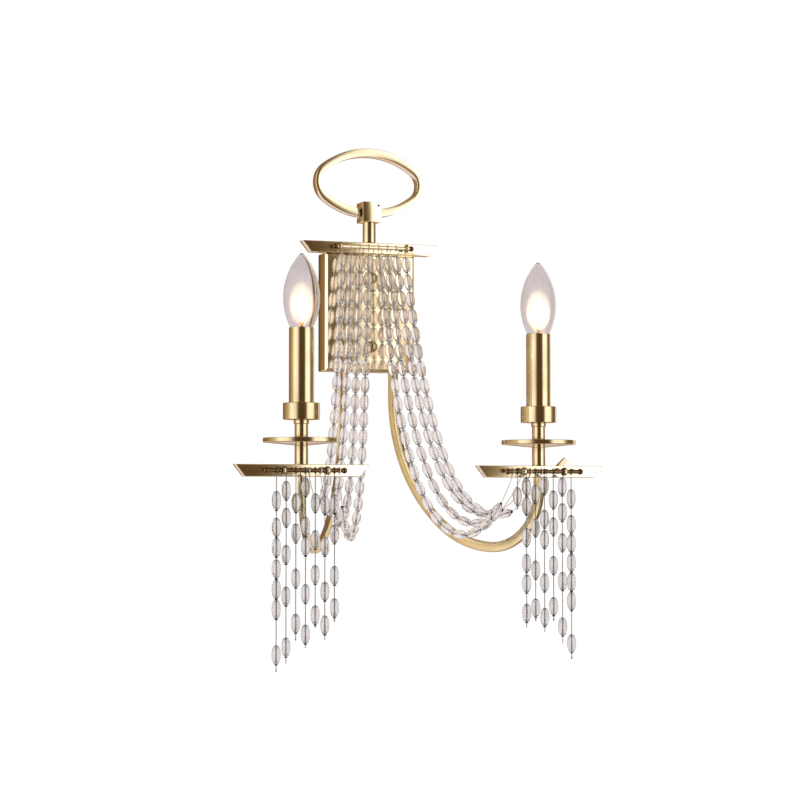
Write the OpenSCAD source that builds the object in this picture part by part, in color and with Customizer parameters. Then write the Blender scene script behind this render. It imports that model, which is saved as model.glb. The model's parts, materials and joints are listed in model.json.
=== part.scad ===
// Candle wall light: a wall box carries a mitred bar with an oval ring on top and
// two curved arms. Each arm ends under a mitred bar with a candle lamp on it.
// Clear oval beads hang in swags from the top bar to the two lower bars, and in
// a fringe under each lower bar.
// Millimetres. The wall is the plane y = 0, the light stands out towards -y,
// and z = 0 is the middle height of the wall box.

/* [Overall] */
// Width over the tips of the two lower bars
overall_w = 355.6; // [340:0.1:400]
// Distance of the candle axes from the wall
candle_reach = 168; // [160:1:185]
// Middle of the lower bars, below the middle of the wall box
lower_bar_drop = 156.5; // [150:0.5:165]
// Room between a part and the hole or slot that holds it, on each side
fit_gap = 0.1; // [0.05:0.01:0.15]

/* [Wall box] */
// Width of the wall box
box_w = 92; // [86:1:105]
// Height of the wall box
box_h = 115; // [112:1:125]
// Depth of the pan that stands on the wall
pan_d = 19; // [18.6:0.1:21]
// Sheet thickness of the pan
pan_wall = 1.2; // [0.8:0.1:1.6]
// Thickness of the face plate
plate_t = 4; // [3.2:0.1:5]
// Width of the bevel round the face plate
plate_bevel = 2.4; // [1:0.1:2.8]
// Depth of the two lips that centre the face plate in the pan
lip_d = 3; // [2:0.5:5]
// Thickness of the lips
lip_t = 1; // [0.8:0.1:2]

/* [Fixings in the box] */
// Width of the mounting strap
strap_w = 20; // [16:1:26]
// Room between each end of the strap and the pan
strap_room = 1.8; // [1:0.1:4]
// Thickness of the mounting strap
strap_t = 2; // [1.5:0.1:2.5]
// Middle of a screw slot, in from the strap's end
slot_in = 10.05; // [9:0.05:12]
// Width of a screw slot
slot_w = 5; // [4:0.1:6]
// Length of a screw slot, end to end
slot_l = 12; // [9:0.5:12]
// Diameter of the supply hole in the strap
supply_hole_d = 12; // [8:1:14]
// Diameter of the studs that hold the face plate
stud_d = 5; // [4:0.1:5]
// Studs, in from the middle of the screw slots
stud_in = 10.95; // [10.8:0.05:14]
// Across flats of the stud nuts
stud_nut_af = 8; // [7.5:0.1:9]
// Thickness of the stud nuts
stud_nut_t = 4; // [3:0.5:5]
// Diameter of the ball nuts on the face plate
finial_d = 11.6; // [10:0.1:11.8]
// Centre of a ball nut in front of the face plate
finial_proud = 4; // [3:0.1:4.2]
// Diameter of the earth screw
earth_d = 4; // [3:0.1:5]
// Earth screw, below the middle of the strap
earth_drop = 16; // [12:0.5:20]
// Diameter of the screws between pan and top bar
bar_screw_d = 3; // [2.5:0.1:3.4]
// Distance between the two screws under the top bar
bar_screw_spacing = 40; // [30:1:50]
// How far the screws reach into the top bar
bar_screw_reach = 6; // [4:0.5:6]
// Distance of these screws in front of the wall
bar_screw_y = 15.8; // [15:0.1:15.9]

/* [Top bar] */
// Side of the square section of all bars
bar_s = 11; // [9:0.5:12]
// Length of the top bar along its upper edge
top_bar_l = 140; // [125:1:160]
// How much a mitred bar end leans in
mitre = 9; // [0:0.5:12]
// Middle of the top bar and of the stem, in front of the wall
bar_y = 19; // [18.6:0.1:20]
// Diameter of the stem between top bar and clamp
stem_d = 13; // [10:0.5:16]
// Height of that stem
stem_h = 20.1; // [15:0.1:30]
// Diameter of the spigots at both ends of the stem
spigot_d = 8; // [6:0.5:9]
// Length of a spigot
spigot_l = 4.3; // [3:0.1:4.4]

/* [Ring] */
// Width and depth of the clamp block
clamp_w = 19.3; // [17:0.1:24]
// Height of the clamp block
clamp_h = 19.5; // [18:0.1:24]
// Thickness of the front cheek of the clamp block
clamp_cheek = 3.2; // [2:0.1:4]
// Diameter of the clamp screw
clamp_screw_d = 2.4; // [1.6:0.1:3]
// Half width of the ring outside
ring_half_w = 55.4; // [50:0.1:65]
// Half height of the ring outside
ring_half_h = 34; // [31:0.5:38]
// Width of the ring's face at its ends
ring_side_w = 5.6; // [4:0.1:8]
// Width of the ring's face at top and bottom
ring_top_w = 8; // [6:0.1:9]
// Depth of the ring
ring_d = 10.7; // [8:0.1:12]
// Middle of the ring, in front of the wall
ring_y = 15.5; // [15:0.1:16]

/* [Arms] */
// Distance of each arm's root from the middle
root_x = 26.5; // [24:0.5:32]
// Distance of each arm's root from the wall
root_y = 14; // [13.6:0.1:14.2]
// Wide side of the flat arm tube
arm_w = 9.5; // [8:0.1:11]
// Thin side of the flat arm tube
arm_t = 5; // [4.6:0.1:6]
// Wall of the arm tube
arm_wall = 0.8; // [0.6:0.05:1]
// Width taken off each long edge of the arm tube
arm_corner = 0.5; // [0.3:0.1:0.8]
// Lowest point of the arm's middle line
arm_low = 227; // [222:1:235]
// Straight length of the arm under the flange
arm_straight = 22.76; // [15:0.01:30]
// Bend radius where the arm turns up under the bar
bend_end = 54; // [45:1:60]
// Diameter of the flange under the pan
flange_d = 10; // [9:0.5:10]
// Thickness of the flange
flange_t = 1.2; // [0.8:0.1:2]
// Diameter of the threaded tenon in the pan
tenon_d = 6; // [5.6:0.1:6.4]
// Bore of the tenon
tenon_bore = 4.4; // [4.3:0.05:4.6]
// Length of the tenon above the flange
tenon_l = 8.5; // [7:0.5:12]
// Across flats of the arm nuts
arm_nut_af = 9; // [8.6:0.1:9.2]
// Thickness of the arm nuts
arm_nut_t = 5; // [3:0.5:5]
// Diameter of each lead wire
lead_d = 1.7; // [1.2:0.1:1.7]
// Distance between the two lead wires of an arm
lead_pitch = 2.4; // [2:0.1:2.4]

/* [Lower bars] */
// Length of a lower bar along its upper edge
lower_bar_l = 125; // [115:1:140]
// Edge of the small tab behind the right lower bar
tab_w = 4.3; // [3:0.1:6]
// Thickness of the tab
tab_t = 3; // [2:0.1:4]
// Length of the tab
tab_l = 17.5; // [14:0.5:20]
// Slope of the tab
tab_angle = 43; // [30:1:60]
// Foot of the tab, outwards from the candle axis
tab_x = 17.5; // [10:0.5:25]

/* [Candles] */
// Outer diameter of the threaded tube
tube_d = 8; // [7:0.1:8.2]
// Bore of the threaded tube
tube_bore = 5; // [4.6:0.1:5.6]
// Outer diameter of the candle stem
candle_stem_d = 12.3; // [11:0.1:14]
// Height of the stem under the disc
stem_lower_h = 17.1; // [12:0.1:24]
// Height of the stem above the disc
stem_upper_h = 14.7; // [10:0.1:22]
// Diameter of the drip disc
disc_d = 69; // [55:1:76]
// Height of the disc's rim
disc_rim_h = 4.1; // [3:0.1:6]
// Width of the disc's rim
disc_rim_w = 2; // [1.2:0.1:3]
// Thickness of the disc plate
disc_t = 2.1; // [1.5:0.1:3]
// Depth of the hub under the rim
disc_hub_h = 2.5; // [1:0.1:4]
// Diameter of the hub
disc_hub_d = 16; // [14:0.5:24]
// Diameter of the collar under the cup
collar_d = 14; // [13:0.1:18]
// Height of the collar
collar_h = 3.7; // [2:0.1:6]
// Diameter of the cup
cup_d = 33.3; // [30:0.1:38]
// Height of the cup
cup_h = 15; // [12:0.5:20]
// Wall of the cup
cup_wall = 1.5; // [1:0.1:2]
// Thickness of the cup's floor
cup_floor = 2; // [1.2:0.1:3]
// Diameter of the candle sleeve
sleeve_d = 22.8; // [22.6:0.1:25]
// Wall of the candle sleeve
sleeve_wall = 0.8; // [0.5:0.1:0.8]
// Length of the candle sleeve
sleeve_l = 80.6; // [75:0.1:90]
// Outer diameter of the lamp socket
socket_d = 17; // [15:0.1:19]
// Length of the lamp socket
socket_l = 47; // [42:0.5:50]
// How far the threaded tube stands in the cup
tube_stand = 17; // [12:0.5:20]
// How far the threaded tube reaches into the socket
tube_grip = 3; // [2:0.1:5]

/* [Bulbs] */
// Diameter of the bulb's screw shell
shell_d = 11.9; // [11:0.1:12]
// Length of the screw shell
shell_l = 18; // [14:0.5:20]
// Length of the contact below the shell
contact_l = 3.2; // [2:0.1:4]
// Room round the shell in the socket
shell_gap = 0.25; // [0.2:0.05:0.5]
// Largest diameter of the glass
glass_d = 33.2; // [28:0.1:36]
// Radius of the long curve of the glass
glass_arc_r = 60; // [50:1:70]
// Widest level of the glass above the sleeve's top
glass_belly = 26.9; // [22:0.1:32]
// Height of the glass above its widest level
glass_top = 40.1; // [37:0.1:40.5]
// Length of the neck inside the sleeve
glass_neck = 18.1; // [15:0.1:22]
// Wall of the glass
glass_wall = 0.8; // [0.6:0.1:1]
// Height of the filament above the sleeve's top
filament_h = 16.4; // [10:0.1:25]

/* [Strand rods] */
// Diameter of the rods that carry the strands
rod_d = 3.8; // [3:0.1:4]
// Rod axis in front of the bar's face
rod_ahead = 7.5; // [7:0.1:10]
// Half the distance between the ends of the top rod
top_rod_half = 38.9; // [38:0.1:46]
// Half the distance between the two eyes of the top rod
top_eye_half = 34.2; // [34.2:0.1:36]
// Half the distance between the ends of a lower rod
lower_rod_half = 36.2; // [35.5:0.1:44]
// Half the distance between the two eyes of a lower rod
lower_eye_half = 20.3; // [20.2:0.1:20.4]
// Diameter of an eye
eye_d = 8; // [7:0.1:8]
// Thickness of an eye
eye_t = 2.4; // [1.6:0.1:2.4]
// Diameter of an eye's shank
eye_shank_d = 3; // [2:0.1:4]
// How deep the shank sits in the bar
eye_shank_in = 5; // [3:0.5:5]
// Diameter of the rods' end knobs
knob_d = 5.6; // [5:0.1:7]

/* [Beads] */
// Largest diameter of a bead
bead_d = 8.7; // [7:0.1:8.7]
// Length of a bead
bead_l = 16.8; // [14:0.1:16.8]
// Diameter of a bead's flat tips
bead_tip_d = 2.2; // [1.8:0.1:2.4]
// Bore of a bead
bead_bore = 1.4; // [1.2:0.1:1.4]
// Diameter of the wire
wire_d = 0.8; // [0.5:0.1:0.8]
// Diameter of the crimps under the beads
crimp_d = 2.2; // [1.8:0.1:2.6]
// Length of a crimp
crimp_l = 0.7; // [0.5:0.1:0.7]
// Inner diameter of the strands' top rings
loop_bore = 4.5; // [4.4:0.1:4.6]
// Thickness of the strands' top rings
loop_t = 1; // [0.6:0.1:1]

/* [Swags] */
// First swag on the top rod, from the middle
swag_first = 5.1; // [5:0.05:5.15]
// Distance between the swags on the top rod
swag_pitch = 9.05; // [9:0.01:9.05]
// Distance from bead to bead along a swag
swag_step = 17.4; // [17.3:0.1:17.6]

/* [Fringe] */
// Distance between neighbouring fringe strands
fringe_pitch = 9; // [9:0.1:9.2]

/* [Hidden] */
$fn = 48;
// Arcs of the arms and the ring meet at the angle of a 3-4-5 triangle, so that
// their ends have round numbers
turn_cos = 0.6;
turn_sin = 0.8;

// Box and fixings
face_y = pan_d + plate_t;
stud_tip_y = face_y + finial_proud + 1.5;
stud_clear_d = stud_d + 0.4;
earth_head_d = earth_d + 3.5;
earth_head_t = 2.4;
bar_head_d = bar_screw_d + 2.5;
bar_head_t = 2;
lip_room = 0.3;
nut_corner = 2 / sqrt(3);
strap_l = box_h - 2 * (pan_wall + strap_room);
slot_spacing = strap_l - 2 * slot_in;
stud_spacing = slot_spacing - 2 * stud_in;

// Heights of the pieces on top of the box
top_bar_z = box_h / 2;
stem_z = top_bar_z + bar_s;
clamp_z = stem_z + stem_h;
ring_seat_z = clamp_z + 5;
ring_z = ring_seat_z + ring_half_h;
ring_dip = 0.9;
spigot_hole = spigot_l + 0.2;

// Candle axis and the line of each arm seen from above
candle_x = (overall_w - lower_bar_l) / 2;
arm_dx = candle_x - root_x;
arm_dy = candle_reach - root_y;
arm_span = round(norm([arm_dx, arm_dy]) * 500) / 500;
arm_turn = -atan2(arm_dy, arm_dx);

// The arm in its own upright plane: s runs outwards, z upwards
bar_low_z = -lower_bar_drop - bar_s / 2;
bar_high_z = bar_low_z + bar_s;
arm_top_z = -box_h / 2 - flange_t;
low_s = arm_span - bend_end;
bend_turn = acos(turn_cos);
bend_z = arm_top_z - arm_straight;
bend_drop = arm_low + bend_z;
bend_lower = 2 * low_s - bend_drop;
bend_upper = 1.5 * bend_drop - 0.5 * low_s;
lower_centre_z = -arm_low + bend_lower;
end_centre_z = -arm_low + bend_end;
tenon_top_z = -box_h / 2 + tenon_l;
connector = [10, 7, 16];
connector_z = tenon_top_z + 20;
port_d = lead_d + 0.4;
port_depth = 6;

// Heights on the candle axis
disc_hub_z = bar_high_z + stem_lower_h;
disc_rim_z = disc_hub_z + disc_hub_h;
disc_floor_z = disc_rim_z + disc_t - 0.1;
collar_z = disc_floor_z + stem_upper_h;
cup_z = collar_z + collar_h;
sleeve_z = cup_z + cup_floor;
sleeve_top_z = sleeve_z + sleeve_l;
tube_top_z = cup_z + cup_floor + tube_stand;
socket_z = tube_top_z - tube_grip;
socket_top_z = socket_z + socket_l;
stem_bore = tube_d + 0.4;
// The lead wires end in blind holes in the socket's foot
socket_foot_z = socket_z + tube_grip;
lead_end_z = socket_foot_z + port_depth - 0.5;

// The bulb hangs from the sleeve's top level: its neck ends in the socket
belly_z = sleeve_top_z + glass_belly;
neck_z = sleeve_top_z - glass_neck;
shell_z = neck_z - shell_l;
contact_z = shell_z - contact_l;
contact_d = 7;
socket_bore = shell_d + 2 * shell_gap;
socket_well_z = contact_z - 0.3;
glass_arc_x = glass_d / 2 - glass_arc_r;
// Thickness of the glass at its very top
glass_tip = 4.6;
filament_z = sleeve_top_z + filament_h;

// Rods, and where a wire starts under a top ring
top_rod_y = bar_y + bar_s / 2 + rod_ahead;
top_rod_z = top_bar_z + bar_s / 2;
lower_rod_y = candle_reach + bar_s / 2 + rod_ahead;
lower_rod_z = -lower_bar_drop;
loop_r = (loop_bore + loop_t) / 2;
wire_start = loop_r + loop_t / 2 + 0.05;

// Beads are lens shaped in section: one arc from tip to tip
bead_arc_r = (pow((bead_d - bead_tip_d) / 2, 2) + pow(bead_l / 2, 2)) / (bead_d - bead_tip_d);

// Swags from the middle outwards: wire length, beads, bare wire above the first
// bead, and how far towards the middle of the lower rod the swag ends
swag_right = [[399, 21, 4, 31.5], [380, 19, 3.8, 22.5], [364, 18, 4, 14], [367, 18, 4.6, 3]];
swag_left = [[402, 21, 3.6, 31.5], [380, 19, 4.2, 22.5], [361, 18, 4, 14], [346, 16, 4, 3]];
// Share of a bead's step that the bead covers, with its wire a little curved
bead_on_wire = bead_l + 0.05;

// Fringe strands from left to right: bare wire before each bead, then the tail
fringe_left = [
    [[15, 7, 1, 2, 1, 1, 23], 6.7],
    [[6, 7, 16, 20, 28], 6],
    [[17, 10, 23, 23], 7],
    [[3, 18, 1, 25, 19], 4],
    [[17, 16, 14, 19], 3],
    [[19, 20, 23, 13], 5],
    [[18, 10, 20, 12], 4]];
fringe_right = [
    [[11], 4],
    [[2, 1, 12, 7, 2, 10], 5],
    [[9, 14, 22, 18], 4],
    [[1, 14, 2, 23, 15], 5],
    [[14, 8, 19, 21], 5],
    [[2, 7, 11, 19, 25], 7],
    [[13, 7, 1, 1, 1, 1, 22], 6]];

function sinh(x) = (exp(x) - exp(-x)) / 2;
function cosh(x) = (exp(x) + exp(-x)) / 2;
function asinh(x) = ln(x + sqrt(x * x + 1));
function atanh(x) = ln((1 + x) / (1 - x)) / 2;
function sum(list, upto) = upto < 0 ? 0 : list[upto] + sum(list, upto - 1);

// Size k of the hanging chain whose span is h, found by halving
function chain_size(h, want, low, high, steps) =
    let (k = (low + high) / 2)
    steps == 0 ? k
    : 2 * k * sinh(h / (2 * k)) > want ? chain_size(h, want, k, high, steps - 1)
    : chain_size(h, want, low, k, steps - 1);

// A chain between two points: its size, its phase and its span
function chain(a, b, length) =
    let (h = norm([b.x - a.x, b.y - a.y]), v = b.z - a.z,
         k = chain_size(h, sqrt(length * length - v * v), 8, 4000, 45))
    [k, h / 2 - k * atanh(v / length), h];

// The point of the chain at a length l along it
function chain_point(a, b, c, l) =
    let (s = c[1] + c[0] * asinh(l / c[0] + sinh(-c[1] / c[0])))
    [a.x + (b.x - a.x) * s / c[2], a.y + (b.y - a.y) * s / c[2],
     a.z + c[0] * (cosh((s - c[1]) / c[0]) - cosh(c[1] / c[0]))];

// A bar with mitred ends, lying along x, its upper edge the longer one
module mitred_bar(length) {
    rotate([90, 0, 0]) linear_extrude(bar_s, center = true)
        polygon([[-length / 2 + mitre, 0], [length / 2 - mitre, 0],
                 [length / 2, bar_s], [-length / 2, bar_s]]);
}

module hex_nut(across, height, bore) {
    difference() {
        cylinder(d = across * nut_corner, h = height, $fn = 6);
        translate([0, 0, -1]) cylinder(d = bore, h = height + 2);
    }
}

// A pan head screw pointing along +z, its head below z = 0
module screw(d, reach, head_d, head_t) {
    difference() {
        union() {
            cylinder(d = d, h = reach);
            translate([0, 0, -head_t]) cylinder(d = head_d, h = head_t);
        }
        translate([-head_d / 2 - 1, -0.4, -head_t - 1]) cube([head_d + 2, 0.8, 1.9]);
    }
}

module at_studs() {
    for (side = [-1, 1]) translate([0, 0, side * stud_spacing / 2]) rotate([90, 0, 0]) children();
}

module at_roots() {
    for (side = [-1, 1]) translate([side * root_x, -root_y, 0]) children();
}

module back_pan() {
    color("#8a6a3c") difference() {
        translate([-box_w / 2, -pan_d, -box_h / 2]) cube([box_w, pan_d, box_h]);
        translate([-box_w / 2 + pan_wall, -pan_d - 1, -box_h / 2 + pan_wall])
            cube([box_w - 2 * pan_wall, pan_d + 2, box_h - 2 * pan_wall]);
        at_roots() translate([0, 0, -box_h / 2 - 1])
            cylinder(d = tenon_d + 4 * fit_gap, h = pan_wall + 2);
        for (side = [-1, 1]) translate([side * bar_screw_spacing / 2, -bar_screw_y, box_h / 2 - pan_wall - 1])
            cylinder(d = bar_screw_d + 2 * fit_gap, h = pan_wall + 2);
    }
}

module face_plate() {
    color("#e8d9b0") difference() {
        union() {
            intersection() {
                translate([0, -pan_d, -box_h / 2]) linear_extrude(box_h) bevelled_outline(box_w);
                translate([-box_w / 2, -pan_d, 0]) rotate([0, 90, 0]) linear_extrude(box_w)
                    bevelled_outline(box_h);
            }
            for (side = [-1, 1])
                translate([side * (box_w / 2 - pan_wall - lip_room - lip_t / 2) - lip_t / 2, -pan_d,
                           -box_h / 2 + pan_wall + lip_room])
                    cube([lip_t, lip_d, box_h - 2 * pan_wall - 2 * lip_room]);
        }
        at_studs() translate([0, 0, pan_d - 1]) cylinder(d = stud_clear_d, h = plate_t + 2);
    }
}

// Outline of the plate seen from above: its back edge on y = 0, its bevels in front
module bevelled_outline(width) {
    polygon([[-width / 2, 0], [width / 2, 0], [width / 2, plate_bevel - plate_t],
             [width / 2 - plate_bevel, -plate_t], [plate_bevel - width / 2, -plate_t],
             [-width / 2, plate_bevel - plate_t]]);
}

module crossbar() {
    color("#b8bcc0") difference() {
        translate([-strap_w / 2, -strap_t, -strap_l / 2]) cube([strap_w, strap_t, strap_l]);
        for (side = [-1, 1]) translate([0, 0, side * slot_spacing / 2]) rotate([90, 0, 0])
            translate([0, 0, -1]) linear_extrude(strap_t + 2) union() {
                for (end = [-1, 1]) translate([0, end * (slot_l - slot_w) / 2]) circle(d = slot_w);
                square([slot_w, slot_l - slot_w], center = true);
            }
        at_studs() translate([0, 0, -1]) cylinder(d = stud_d + fit_gap, h = strap_t + 2);
        rotate([90, 0, 0]) translate([0, 0, -1]) cylinder(d = supply_hole_d, h = strap_t + 2);
        translate([0, 0, -earth_drop]) rotate([90, 0, 0]) translate([0, 0, -1])
            cylinder(d = earth_d + fit_gap, h = strap_t + 2);
    }
}

module canopy_studs() {
    color("#c9ccd0") at_studs() {
        cylinder(d = stud_d, h = stud_tip_y);
        translate([0, 0, strap_t]) hex_nut(stud_nut_af, stud_nut_t, stud_d + fit_gap);
    }
}

module finial_nuts() {
    color("#d6b56a") at_studs() difference() {
        translate([0, 0, face_y + finial_proud]) sphere(d = finial_d);
        translate([-finial_d, -finial_d, face_y - finial_d]) cube([2 * finial_d, 2 * finial_d, finial_d]);
        translate([0, 0, face_y - 1]) cylinder(d = stud_d + fit_gap, h = stud_tip_y - face_y + 1.3);
    }
}

module earth_screw() {
    color("#3f8f4f") translate([0, -strap_t, -earth_drop]) rotate([-90, 0, 0])
        screw(earth_d, strap_t, earth_head_d, earth_head_t);
}

module lead_connectors() {
    color("#f2efe6") for (side = [-1, 1]) on_side(side) translate([root_x, -root_y, 0]) difference() {
        translate([-connector.x / 2, -connector.y / 2, connector_z]) cube(connector);
        for (wire = [-1, 1]) in_arm_turn(wire) {
            translate([0, 0, connector_z - 1]) cylinder(d = port_d, h = port_depth + 1);
            translate([0, 0, connector_z + connector.z - port_depth]) cylinder(d = port_d, h = port_depth + 1);
        }
    }
}

// The wires of the two arms lie side by side in their arm's plane
module in_arm_turn(wire) {
    translate([wire * lead_pitch / 2 * cos(arm_turn), wire * lead_pitch / 2 * sin(arm_turn), 0]) children();
}

module bar_screws() {
    color("#c9ccd0") for (side = [-1, 1])
        translate([side * bar_screw_spacing / 2, -bar_screw_y, box_h / 2 - pan_wall])
            screw(bar_screw_d, pan_wall + bar_screw_reach, bar_head_d, bar_head_t);
}

module arm_nuts() {
    color("#c9ccd0") at_roots() translate([0, 0, -box_h / 2 + pan_wall])
        hex_nut(arm_nut_af, arm_nut_t, tenon_d + fit_gap);
}

module top_bar() {
    color("#d9bf82") difference() {
        translate([0, -bar_y, top_bar_z]) mitred_bar(top_bar_l);
        for (side = [-1, 1]) {
            translate([side * bar_screw_spacing / 2, -bar_screw_y, top_bar_z - 1])
                cylinder(d = bar_screw_d + fit_gap, h = bar_screw_reach + 1.3);
            translate([side * top_eye_half, -bar_y - bar_s / 2, top_rod_z]) eye_hole();
        }
        translate([0, -bar_y, stem_z - spigot_hole]) cylinder(d = spigot_d + 2 * fit_gap, h = spigot_hole + 1);
    }
}

// Blind hole for an eye's shank, going into a bar from its front face
module eye_hole() {
    rotate([-90, 0, 0]) translate([0, 0, -1])
        cylinder(d = eye_shank_d + 2 * fit_gap, h = eye_shank_in + 1.2);
}

module top_stem() {
    color("#c9a55c") translate([0, -bar_y, stem_z]) {
        cylinder(d = stem_d, h = stem_h);
        translate([0, 0, -spigot_l]) cylinder(d = spigot_d, h = stem_h + 2 * spigot_l);
    }
}

module clamp_block() {
    color("#f0e6c8") difference() {
        translate([-clamp_w / 2, -bar_y - clamp_w / 2, clamp_z]) cube([clamp_w, clamp_w, clamp_h]);
        translate([-clamp_w, -bar_y - clamp_w / 2 + clamp_cheek, ring_seat_z - fit_gap])
            cube([2 * clamp_w, clamp_w, ring_top_w + ring_dip + 2 * fit_gap]);
        translate([0, -bar_y, clamp_z - 1]) cylinder(d = spigot_d + 2 * fit_gap, h = spigot_hole + 1);
        clamp_screw_body(clamp_screw_d + 2 * fit_gap, fit_gap);
    }
}

// Pin screw in the bridge of the clamp block, seen as a dot on its front
module clamp_screw_body(d, extra) {
    translate([clamp_w / 3, -bar_y - clamp_w / 2 - extra, clamp_z + clamp_h - 3.3])
        rotate([-90, 0, 0]) cylinder(d = d, h = clamp_w / 2 + 2 * extra);
}

module clamp_screw() {
    color("#6b6254") clamp_screw_body(clamp_screw_d, 0);
}

// An oval of four arcs with half sizes a and b. Each arc is cut along the lines
// from the end arcs' centres to the points where two arcs meet.
module oval(a, b) {
    between = (a - b) / (1 - turn_cos);
    big = b + turn_sin * between;
    small = big - between;
    far = [turn_cos, turn_sin] * 2 * b;
    for (up = [-1, 1]) intersection() {
        translate([0, up * (b - big)]) circle(r = big, $fn = 240);
        polygon([[small - a, 0], [a - small, 0], [a - small + far.x, up * far.y],
                 [small - a - far.x, up * far.y]]);
    }
    for (side = [-1, 1]) translate([side * (a - small), 0]) intersection() {
        circle(r = small, $fn = 96);
        polygon([[0, 0], [side * far.x, far.y], [side * far.x, -far.y]]);
    }
}

module ring() {
    color("#d9bf82") translate([0, -ring_y, ring_z]) rotate([90, 0, 0])
        linear_extrude(ring_d, center = true) difference() {
            oval(ring_half_w, ring_half_h);
            oval(ring_half_w - ring_side_w, ring_half_h - ring_top_w);
        }
}

// A rod along x through the point, with its ends half_l away
module rod(half_l) {
    translate([-half_l, 0, 0]) rotate([0, 90, 0]) cylinder(d = rod_d, h = 2 * half_l);
}

module at_top_rod() {
    translate([0, -top_rod_y, top_rod_z]) children();
}

module at_lower_rod(side) {
    translate([side * candle_x, -lower_rod_y, lower_rod_z]) children();
}

module top_rod() {
    color("#8a6f3f") at_top_rod() rod(top_rod_half);
}

module lower_rod(side) {
    color("#8a6f3f") at_lower_rod(side) rod(lower_rod_half);
}

// An eye round the rod, with a shank into the bar behind it
module eye() {
    difference() {
        union() {
            rotate([0, 90, 0]) cylinder(d = eye_d, h = eye_t, center = true);
            rotate([-90, 0, 0]) translate([0, 0, rod_d / 2 + 0.8])
                cylinder(d = eye_shank_d, h = rod_ahead - rod_d / 2 - 0.8 + eye_shank_in);
        }
        rotate([0, 90, 0]) cylinder(d = rod_d + 2 * fit_gap, h = eye_t + 2, center = true);
    }
}

module rod_eyes() {
    color("#d9bf82") for (side = [-1, 1]) {
        at_top_rod() translate([side * top_eye_half, 0, 0]) eye();
        for (end = [-1, 1]) at_lower_rod(side) translate([end * lower_eye_half, 0, 0]) eye();
    }
}

// A ball on the end of a rod, bored to its middle
module knob(end) {
    rotate([0, -90 * end, 0]) rotate_extrude($fn = 48) difference() {
        circle(d = knob_d);
        translate([-knob_d, -knob_d]) square([knob_d, 2 * knob_d]);
        translate([-knob_d, -fit_gap]) square([knob_d + rod_d / 2 + fit_gap, knob_d]);
    }
}

module rod_knobs() {
    color("#5c4724") for (end = [-1, 1]) {
        at_top_rod() translate([end * top_rod_half, 0, 0]) knob(end);
        for (side = [-1, 1]) at_lower_rod(side) translate([end * lower_rod_half, 0, 0]) knob(end);
    }
}

// Places a child that is drawn for the right side on either side
module on_side(side) {
    mirror([side < 0 ? 1 : 0, 0, 0]) children();
}

// A run of the arm's path: a straight piece at s from z0 up to z1
module upright(s, z0, z1) {
    translate([s, 0, z0]) linear_extrude(z1 - z0) children();
}

// A bend of the arm's path about the centre (s, z), with angles from outwards to
// up. It is a full ring cut by two corners, so that the ends of two bends meet.
module bend(s, z, r, from, to) {
    translate([s, 0, z]) rotate([90, 0, 0]) intersection() {
        rotate_extrude($fn = 180) translate([r, 0]) children();
        corner(r, from);
        if (to - from < 90) corner(r, to - 90);
    }
}

// The quarter of a bend's plane from the angle given onwards
module corner(r, from) {
    rotate([0, 0, from]) translate([0, 0, -arm_t]) cube([r + arm_w, r + arm_w, 2 * arm_t]);
}

// A short core, a little smaller than the section, that ties two runs together
module tie(s, z, lean) {
    translate([s, 0, z]) rotate([0, lean, 0]) linear_extrude(0.4, center = true) scale(0.98) children();
}

// The arm's whole path for a section whose place across the curve is off
module arm_path(off, top_z, end_z) {
    joint_r = bend_lower + off;
    tie(-off, bend_z, 0) children();
    tie(low_s - turn_cos * joint_r, lower_centre_z - turn_sin * joint_r, 180 - bend_turn) children();
    tie(low_s, -arm_low - off, 90) children();
    tie(arm_span + off, end_centre_z, 0) children();
    upright(-off, bend_z, top_z) children();
    bend(bend_upper, bend_z, bend_upper + off, 180, 180 + bend_turn) children();
    bend(low_s, lower_centre_z, bend_lower + off, 180 + bend_turn, 270) children();
    bend(low_s, end_centre_z, bend_end + off, 270, 360) children();
    upright(arm_span + off, end_centre_z, end_z) children();
}

module in_arm_plane() {
    translate([root_x, -root_y, 0]) rotate([0, 0, arm_turn]) children();
}

// A rectangle with its corners cut off
module soft_rect(w, t, c) {
    polygon([[w / 2 - c, t / 2], [w / 2, t / 2 - c], [w / 2, c - t / 2], [w / 2 - c, -t / 2],
             [c - w / 2, -t / 2], [-w / 2, c - t / 2], [-w / 2, t / 2 - c], [c - w / 2, t / 2]]);
}

module arm(side) {
    color("#d9bf82") on_side(side) in_arm_plane() difference() {
        union() {
            arm_path(0, arm_top_z, bar_low_z) soft_rect(arm_w, arm_t, arm_corner);
            translate([0, 0, arm_top_z]) cylinder(d = flange_d, h = flange_t);
            translate([0, 0, arm_top_z]) cylinder(d = tenon_d, h = flange_t + tenon_l);
        }
        arm_path(0, arm_top_z - 1, bar_low_z + 1)
            square([arm_w - 2 * arm_wall, arm_t - 2 * arm_wall], center = true);
        translate([0, 0, arm_top_z - 2]) cylinder(d = tenon_bore, h = flange_t + tenon_l + 3);
    }
}

module lead_wires() {
    color("#4a3d2c") for (side = [-1, 1], wire = [-1, 1]) on_side(side) in_arm_plane()
        arm_path(wire * lead_pitch / 2, connector_z + port_depth - 0.5, lead_end_z)
            circle(d = lead_d, $fn = 24);
}

module lower_bar(side) {
    color("#d9bf82") difference() {
        translate([side * candle_x, -candle_reach, bar_low_z]) mitred_bar(lower_bar_l);
        on_candle(side) translate([0, 0, bar_low_z - 1]) cylinder(d = stem_bore, h = bar_s + 2);
        for (end = [-1, 1])
            translate([side * candle_x + end * lower_eye_half, -candle_reach - bar_s / 2, lower_rod_z])
                eye_hole();
    }
}

module on_candle(side) {
    translate([side * candle_x, -candle_reach, 0]) children();
}

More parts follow.
